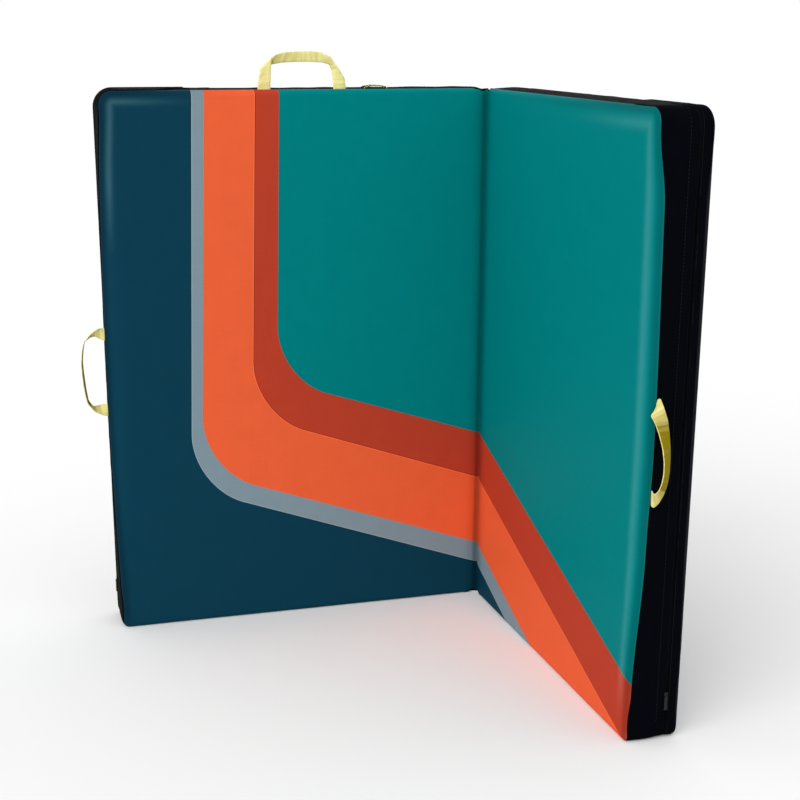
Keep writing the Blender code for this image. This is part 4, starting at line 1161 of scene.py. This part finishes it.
black_webbing = webbing_material("black_webbing", WEBBING_BLACK, WORN_BLACK, 1.0)
lime_thread = thread_material("lime_thread", LIME_THREAD)
along = np.linspace(-TAB_HALF, TAB_HALF, 30)
arch = TAB_ARCH * np.clip(np.cos(along / TAB_HALF * math.pi / 2), 0, 1) ** 0.5
level = PANEL_HEIGHT + 1.6 * MM + (arch + 0.25 * MM * waves(along, 0 * along, 9 * MM, 70))
tab = ribbon("edge_tab_webbing", place(STRAP, TAB_OUT + along, TAB_FRONT + 0 * along, level - 0.8 * MM),
             place(STRAP, TAB_OUT + along, TAB_BACK + 0 * along, level - 0.3 * MM), TAB_THICKNESS, 0.3 * MM)
tab.data.materials.append(black_webbing)
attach(tab, STRAP)
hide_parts("edge_tab_strap_half")
stitch_x = np.linspace(-TAB_HALF + 1.5 * MM, TAB_HALF - 1.5 * MM, TAB_STITCHES)
zigzag = np.where(np.arange(TAB_STITCHES) % 2, 1, -1)
spots = place(STRAP, TAB_OUT + stitch_x, TAB_FRONT + 0.6 * MM + 0.5 * MM * zigzag,
              np.interp(stitch_x, along, level) - 0.2 * MM + 0.9 * MM * zigzag)
slant = np.stack([-np.ones(TAB_STITCHES), 0.7 * zigzag, 0.5 * zigzag], -1)
upward = np.repeat([[0.0, -0.8, 1.0]], TAB_STITCHES, 0)
add_stitches("edge_tab_stitches", [(spots, slant, upward)], TAB_STITCH, STRAP, lime_thread)


# Sewn patches
# The harness and the closures are sewn to small patches of doubled nylon, each held by a row of
# stitches round its rim and a cross.
PATCH_DEPTH = 103.05 * MM
PATCH_THICKNESS = 1.2 * MM
PATCH_CORNER = 5 * MM
PATCH_PITCH = 3.6 * MM
PATCH_STITCH = (2.6 * MM, 0.7 * MM, 0.5 * MM)
PATCH_NYLON = (0.0125, 0.0135, 0.0165)
PALE_THREAD = (0.10, 0.105, 0.12)
# Distances in from the rim in millimetres, and the shares of the thickness that it has there
PATCH_RIM = ((0.0, 0.0), (0.0, 0.7), (0.4, 1.0), (3.0, 1.0), (3.8, 0.72), (5.2, 0.85))
CROSS_REACH = 0.36
YOKE = (381 * MM, 850 * MM, 218 * MM, 45 * MM)
FOOT_OUTS, FOOT_HEIGHT, FOOT_SIZE = (231 * MM, 531 * MM), 290 * MM, (45 * MM, 45 * MM)
BELT_OUTS, BELT_HEIGHT, BELT_SIZE = (151 * MM, 611 * MM), 205 * MM, (45 * MM, 60 * MM)
CLOSURE_OUT = 690 * MM
CLOSURE_HEIGHTS = (880 * MM, 520 * MM)
CLOSURE_SIZE = (45 * MM, 45 * MM)


def rounded_loop(wide, tall, corner, count):
    """Points round a rectangle with round corners, at even turns of a line about its middle.

    The line meets the rectangle, and a place nearer a corner than its radius moves onto the arc.
    """
    turn = np.linspace(0, 2 * math.pi, count, endpoint=False)
    x, y = np.cos(turn), np.sin(turn)
    scale = 1 / np.maximum(np.abs(x), np.abs(y))
    x, y = x * scale * wide / 2, y * scale * tall / 2
    inner_x = np.clip(x, corner - wide / 2, wide / 2 - corner)
    inner_y = np.clip(y, corner - tall / 2, tall / 2 - corner)
    away = np.maximum(np.hypot(x - inner_x, y - inner_y), 1e-9)
    past = np.minimum(corner / away, 1)
    return inner_x + (x - inner_x) * past, inner_y + (y - inner_y) * past


def patch(name, half, out, height, size):
    """A patch on the ground side: rings of a rounded rectangle, each further in than the last.

    The rings rise to a soft rim and shrink to the middle. It gives back its row of stitches.
    """
    rings, uv = [], []
    for inset, level in PATCH_RIM:
        inset = inset * MM
        x, y = rounded_loop(size[0] - 2 * inset, size[1] - 2 * inset, max(PATCH_CORNER - inset, 1 * MM), 96)
        rings.append(place(half, out + x, PATCH_DEPTH + PATCH_THICKNESS * level, height + y))
        uv.append(np.stack([x, y], -1))
    last_x, last_y = x, y
    for share in np.linspace(0, 1, 6)[1:]:
        x, y = last_x * (1 - share * 0.98), last_y * (1 - share * 0.98)
        rings.append(place(half, out + x, PATCH_DEPTH + PATCH_THICKNESS * (0.85 + 0.1 * share), height + y))
        uv.append(np.stack([x, y], -1))
    uv = np.array(uv)
    made_patch = tube(f"{name}_cloth", np.array(rings), np.concatenate([uv, uv[:, :1]], 1))
    made_patch.data.materials.append(patch_nylon)
    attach(made_patch, half)
    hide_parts(name)
    round_count = int((size[0] + size[1]) * 2 / PATCH_PITCH)
    x, y = rounded_loop(size[0] - 7.6 * MM, size[1] - 7.6 * MM, 2 * MM, round_count)
    arms = np.linspace(-CROSS_REACH, CROSS_REACH, int(size[0] * 2 * CROSS_REACH / PATCH_PITCH))
    x = np.concatenate([x, arms * size[0], arms * size[0]])
    y = np.concatenate([y, arms * size[1], -arms * size[1]])
    spots = place(half, out + x, PATCH_DEPTH + PATCH_THICKNESS + 0.05 * MM, height + y)
    along = np.gradient(spots, axis=0)
    behind = place(half, 0.0, 1.0, 0.0) - place(half, 0.0, 0.0, 0.0)
    return spots, along, np.broadcast_to(behind, spots.shape)


patch_nylon = one_colour_nylon("patch_nylon", PATCH_NYLON, 0.6, 1.15, 1.8 * MM, 0.2, 0.4 * MM)
pale_thread = thread_material("pale_thread", PALE_THREAD)
rows = {half: [] for half in HALVES}
rows[STRAP].append(patch("yoke_patch_strap_half", STRAP, YOKE[0], YOKE[1], YOKE[2:]))
for near_far, foot, belt in zip(("near", "far"), FOOT_OUTS, BELT_OUTS):
    rows[STRAP].append(patch(f"foot_patch_{near_far}_strap_half", STRAP, foot, FOOT_HEIGHT, FOOT_SIZE))
    rows[STRAP].append(patch(f"belt_patch_{near_far}_strap_half", STRAP, belt, BELT_HEIGHT, BELT_SIZE))
for half in HALVES:
    for number, height in enumerate(CLOSURE_HEIGHTS, 1):
        rows[half].append(patch(f"closure_patch_{number}_{half}", half, CLOSURE_OUT, height, CLOSURE_SIZE))
    add_stitches(f"patch_stitches_{half}", rows[half], PATCH_STITCH, half, pale_thread)


# Shoulder straps
# Two padded straps of nylon over closed-cell foam, bound with woven tape, hang in a curve from the
# yoke. Webbing runs from a ladder lock on each strap's foot down to its patch.
ON_PATCH_DEPTH = 104.55 * MM
PAD_TOP, PAD_FOOT = 850 * MM, 440 * MM
PAD_WIDTHS = (68 * MM, 42 * MM)
PAD_THICKNESS = 9 * MM
PAD_STAND_OFF = 42 * MM
PAD_OUTS = ((306 * MM, 264.75 * MM), (456 * MM, 497.25 * MM))
LOCK_HEIGHT = 439.7 * MM
PAD_RINGS = 110
CHANNEL, CHANNEL_DIP = 0.72, 0.30
BINDING_RADII = (1.2 * MM, 2.3 * MM)
PAD_HALF_CLOTH, PAD_CLOTH_LENGTH = 30 * MM, 420 * MM
PAD_STITCH = (2.6 * MM, 0.7 * MM, 0.6 * MM)
PAD_GRAY = (0.024, 0.026, 0.031)
WEBBING_WIDTH = 25 * MM


def pad_line(top_out, lock_out, share):
    """The middle of a shoulder pad: it swings sideways as a square and away as a half wave."""
    out = top_out + (lock_out - top_out) * share ** 2
    depth = ON_PATCH_DEPTH + PAD_THICKNESS / 2 + PAD_STAND_OFF * np.sin(math.pi * share) ** 2
    return out, depth, PAD_TOP + (PAD_FOOT - PAD_TOP) * share


def pad_frames(top_out, lock_out, share):
    """Middle, sideways direction and outward direction of a shoulder pad, and its width."""
    middle = place(STRAP, *pad_line(top_out, lock_out, share))
    along = np.gradient(middle, axis=0)
    along /= np.linalg.norm(along, axis=1, keepdims=True)
    side = np.cross(along, np.array([0.0, 1.0, 0.0]))
    side /= np.linalg.norm(side, axis=1, keepdims=True)
    return middle, side, np.cross(side, along), PAD_WIDTHS[0] + (PAD_WIDTHS[1] - PAD_WIDTHS[0]) * share ** 3


def along_pad(at, share, values):
    """Values that belong to even shares of a pad's length, read at other shares of it."""
    return np.stack([np.interp(at, share, column) for column in values.T], 1)


def hanging_webbing(name, half, out, depth, height):
    """Webbing that lies flat on the ground side along a line, half its width to each side."""
    edges = [place(half, out + way * WEBBING_WIDTH / 2, depth, height) for way in (-1, 1)]
    return ribbon(name, *edges, WEBBING_THICKNESS)


pad_mesh = one_colour_nylon("pad_mesh", PAD_GRAY, 0.7, 1.1, 2.2 * MM, 0.15, 0.4 * MM)

for near_far, (top_out, lock_out), foot_out in zip(("near", "far"), PAD_OUTS, FOOT_OUTS):
    share = np.linspace(0, 1, PAD_RINGS)
    middle, side, away, width = pad_frames(top_out, lock_out, share)
    turn = np.linspace(0, 2 * math.pi, 48, endpoint=False)
    x = np.sign(np.cos(turn)) * np.abs(np.cos(turn)) ** 0.7
    dips = 1 - CHANNEL_DIP * bell(np.abs(x) - CHANNEL, 0.05)
    thick = np.sign(np.sin(turn)) * np.abs(np.sin(turn)) ** 0.75 * dips
    ends = np.minimum(1, np.minimum(share, 1 - share) / 0.035 + 0.25) ** 0.5
    quilt = 1 + 0.04 * waves(share[:, None] * 0.4, x[None, :] * PAD_HALF_CLOTH, 35 * MM, 80)
    thick = thick[None, :] * (PAD_THICKNESS / 2 - 0.4 * MM) * ends[:, None] * quilt
    rings = (middle[:, None] + side[:, None] * (x[None, :] * width[:, None] / 2)[..., None]
             + away[:, None] * thick[..., None])
    around = np.concatenate([[0], np.cumsum(np.hypot(np.diff(x), 0.2 * np.diff(np.sin(turn))))])
    uv = np.broadcast_arrays(around[None, :] * PAD_HALF_CLOTH, share[:, None] * PAD_CLOTH_LENGTH)
    uv = np.stack(uv, -1)
    pad = tube(f"shoulder_pad_{near_far}_cloth", rings, np.concatenate([uv, uv[:, -1:] + [0.001, 0]], 1))
    pad.data.materials.append(pad_mesh)
    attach(pad, STRAP)
    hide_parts(f"shoulder_pad_{near_far}_strap_half")
    over_end = np.linspace(-1, 1, 10)[1:-1]
    rim_share = np.concatenate([share, 0 * over_end + 1, share[::-1], 0 * over_end])
    rim_side = np.concatenate([0 * share - 1, over_end, 0 * share + 1, -over_end])
    centre, sideways, outward = (along_pad(rim_share, share, values) for values in (middle, side, away))
    line = centre + sideways * (rim_side * np.interp(rim_share, share, width) / 2)[:, None]
    way = np.roll(line, -1, 0) - np.roll(line, 1, 0)
    way /= np.linalg.norm(way, axis=1, keepdims=True)
    across = np.cross(way, outward)
    turn = np.linspace(0, 2 * math.pi, 10, endpoint=False)
    binding_rings = (line[:, None] + across[:, None] * (BINDING_RADII[0] * np.cos(turn))[:, None]
                     + outward[:, None] * (BINDING_RADII[1] * np.sin(turn))[:, None])
    binding_rings = np.concatenate([binding_rings, binding_rings[:1]])
    length = np.arange(len(binding_rings)) * 3.8 * MM
    uv = np.stack(np.broadcast_arrays(length[:, None], np.linspace(0, 11 * MM, 11)[None, :]), -1)
    faces, uv_faces = grid_faces(*binding_rings.shape[:2], wrap=True), grid_faces(len(binding_rings), 11)
    binding = new_piece(f"shoulder_binding_{near_far}", binding_rings, faces, uv, uv_faces)
    binding.data.materials.append(black_webbing)
    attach(binding, STRAP)
    rows = []
    for way in (-CHANNEL, CHANNEL):
        at = np.linspace(0.03, 0.97, 105)
        channel = middle + side * (way * width / 2)[:, None] + away * 3.1 * MM
        spots = along_pad(at, share, channel)
        rows.append((spots, np.gradient(spots, axis=0), along_pad(at, share, away)))
    add_stitches(f"shoulder_stitches_{near_far}", rows, PAD_STITCH, STRAP, black_thread)
    share = np.linspace(0, 1, 60)
    out = lock_out + (foot_out - lock_out) * share
    depth = ON_PATCH_DEPTH + WEBBING_THICKNESS / 2 + 0.5 * MM * np.sin(math.pi * share)
    height = LOCK_HEIGHT - 0.3 * MM + (FOOT_HEIGHT - 12 * MM - LOCK_HEIGHT) * share
    lower = hanging_webbing(f"strap_webbing_{near_far}_weave", STRAP, out, depth, height)
    lower.data.materials.append(black_webbing)
    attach(lower, STRAP)
    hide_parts(f"strap_webbing_{near_far}_strap_half")


# Waist belt
# Two wings of 38 mm webbing come from their patches and meet in a side-release buckle.
BELT_WIDTH = 38 * MM
BELT_SWELL = 16 * MM
BUCKLE_OUT = 381 * MM
BELT_IN = 44 * MM

for near_far, patch_out, way in (("near", BELT_OUTS[0], 1), ("far", BELT_OUTS[1], -1)):
    share = np.linspace(0, 1, 80)
    inner_out = BUCKLE_OUT - way * BELT_IN
    out = patch_out + (inner_out - patch_out) * share
    rising = 1 - (1 + np.cos(math.pi * np.minimum(1, share / 0.7))) / 2
    depth = ON_PATCH_DEPTH + WEBBING_THICKNESS / 2 + BELT_SWELL * rising
    height = BELT_HEIGHT + 0.6 * MM * waves(out, 0 * out, 80 * MM, 90)
    wing = ribbon(f"waist_belt_{near_far}_weave", place(STRAP, out, depth, height - BELT_WIDTH / 2),
                  place(STRAP, out, depth, height + BELT_WIDTH / 2), WEBBING_THICKNESS)
    wing.data.materials.append(black_webbing)
    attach(wing, STRAP)
    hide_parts(f"waist_belt_{near_far}_strap_half")


# Closure straps
# Webbing straps with snap buckles hold the folded pad shut: long ones on the strap half, short
# ones with the other buckle halves on the plain half.
CLOSURE_LONG, CLOSURE_SHORT = 210 * MM, 60 * MM
PIVOT_GAP = 2.2 * MM

for half, length, side in ((STRAP, CLOSURE_LONG, "strap"), (PLAIN, CLOSURE_SHORT, "plain")):
    for number, patch_height in enumerate(CLOSURE_HEIGHTS, 1):
        top = patch_height - CLOSURE_SIZE[1] / 2 - PIVOT_GAP
        height = np.linspace(top, top - length + PIVOT_GAP, 50)
        out = CLOSURE_OUT + 0.5 * MM * waves(height, 0 * height, 90 * MM, 95 + number)
        depth = ON_PATCH_DEPTH + WEBBING_THICKNESS / 2
        strap = hanging_webbing(f"closure_strap_{number}_{half}_weave", half, out, depth, height)
        strap.data.materials.append(black_webbing)
        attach(strap, f"{side}_closure_{number}")
        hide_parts(f"closure_strap_{number}_{half}")


# Buckles
# The ladder locks, the waist buckle and the snap buckles are moulded in black acetal.
ACETAL_BLACK = (0.014, 0.014, 0.016)

black_acetal = moulded("black_acetal", ACETAL_BLACK, 0.42, 0.0, 1200)
for name, part_object in frame["nodes"].items():
    if name.startswith(("ladder_lock", "waist_buckle", "closure_male", "closure_female")):
        part_object.data.materials.clear()
        part_object.data.materials.append(black_acetal)


# Photograph's view and studio
# The camera stands in front of the opened halves at chest height and looks slightly down. A pale
# floor and a broad soft lamp from the front left stand for a plain studio.
CAMERA_PLACE = (-0.6920, -2.9733, 1.1827)
CAMERA_YAW, CAMERA_PITCH, CAMERA_ROLL = 16.65, 16.81, 0.25
FOCAL_PIXELS = 1514.0
CENTRE_PIXEL = (388.1, 484.4)
PHOTO_PIXELS = 800
SENSOR = 36.0
AMBIENT = 0.86
KEY_STRENGTH = 1.65
KEY_FROM = (-0.62, -0.58, 0.53)
KEY_ANGLE = 60
FLOOR_SIZE = 14
FLOOR_GRAY = (0.9, 0.9, 0.9)

camera_data = bpy.data.cameras.new("camera")
camera_data.sensor_width = SENSOR
camera_data.lens = SENSOR * FOCAL_PIXELS / PHOTO_PIXELS
camera_data.shift_x = (PHOTO_PIXELS / 2 - CENTRE_PIXEL[0]) / PHOTO_PIXELS
camera_data.shift_y = (CENTRE_PIXEL[1] - PHOTO_PIXELS / 2) / PHOTO_PIXELS
camera = bpy.data.objects.new("camera", camera_data)
camera.matrix_world = (
    Matrix.Translation(CAMERA_PLACE)
    @ Matrix.Rotation(math.radians(-CAMERA_YAW), 4, "Z")
    @ Matrix.Rotation(math.radians(90 - CAMERA_PITCH), 4, "X")
    @ Matrix.Rotation(math.radians(CAMERA_ROLL), 4, "Z")
)
bpy.context.scene.collection.objects.link(camera)
bpy.context.scene.camera = camera

bpy.ops.mesh.primitive_plane_add(size=FLOOR_SIZE, location=(0, 0, -1 * MM))
floor = bpy.context.object
floor.name = "studio_floor"
floor.data.materials.append(start_material("pale_floor", FLOOR_GRAY, 0.95)[0])
floor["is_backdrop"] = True

world = bpy.data.worlds.new("studio")
bpy.context.scene.world = world
world.use_nodes = True
tree = world.node_tree
ways = node(tree, "LightPath")
seen = calc(tree, "MAXIMUM", ways.outputs["Is Camera Ray"],
            calc(tree, "MAXIMUM", ways.outputs["Is Glossy Ray"], ways.outputs["Is Transmission Ray"]))
background = tree.nodes["Background"]
background.inputs["Color"].default_value = (1, 1, 1, 1)
tree.links.new(ranged(tree, seen, AMBIENT, 1.0), background.inputs["Strength"])

key_data = bpy.data.lights.new("key", "SUN")
key_data.energy = KEY_STRENGTH
key_data.angle = math.radians(KEY_ANGLE)
key = bpy.data.objects.new("key", key_data)
key.rotation_euler = Vector(KEY_FROM).to_track_quat("Z", "Y").to_euler()
bpy.context.scene.collection.objects.link(key)

bpy.context.scene.view_settings.view_transform = "Standard"


# The box round the dressed object, leaving out the floor.
low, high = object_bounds()
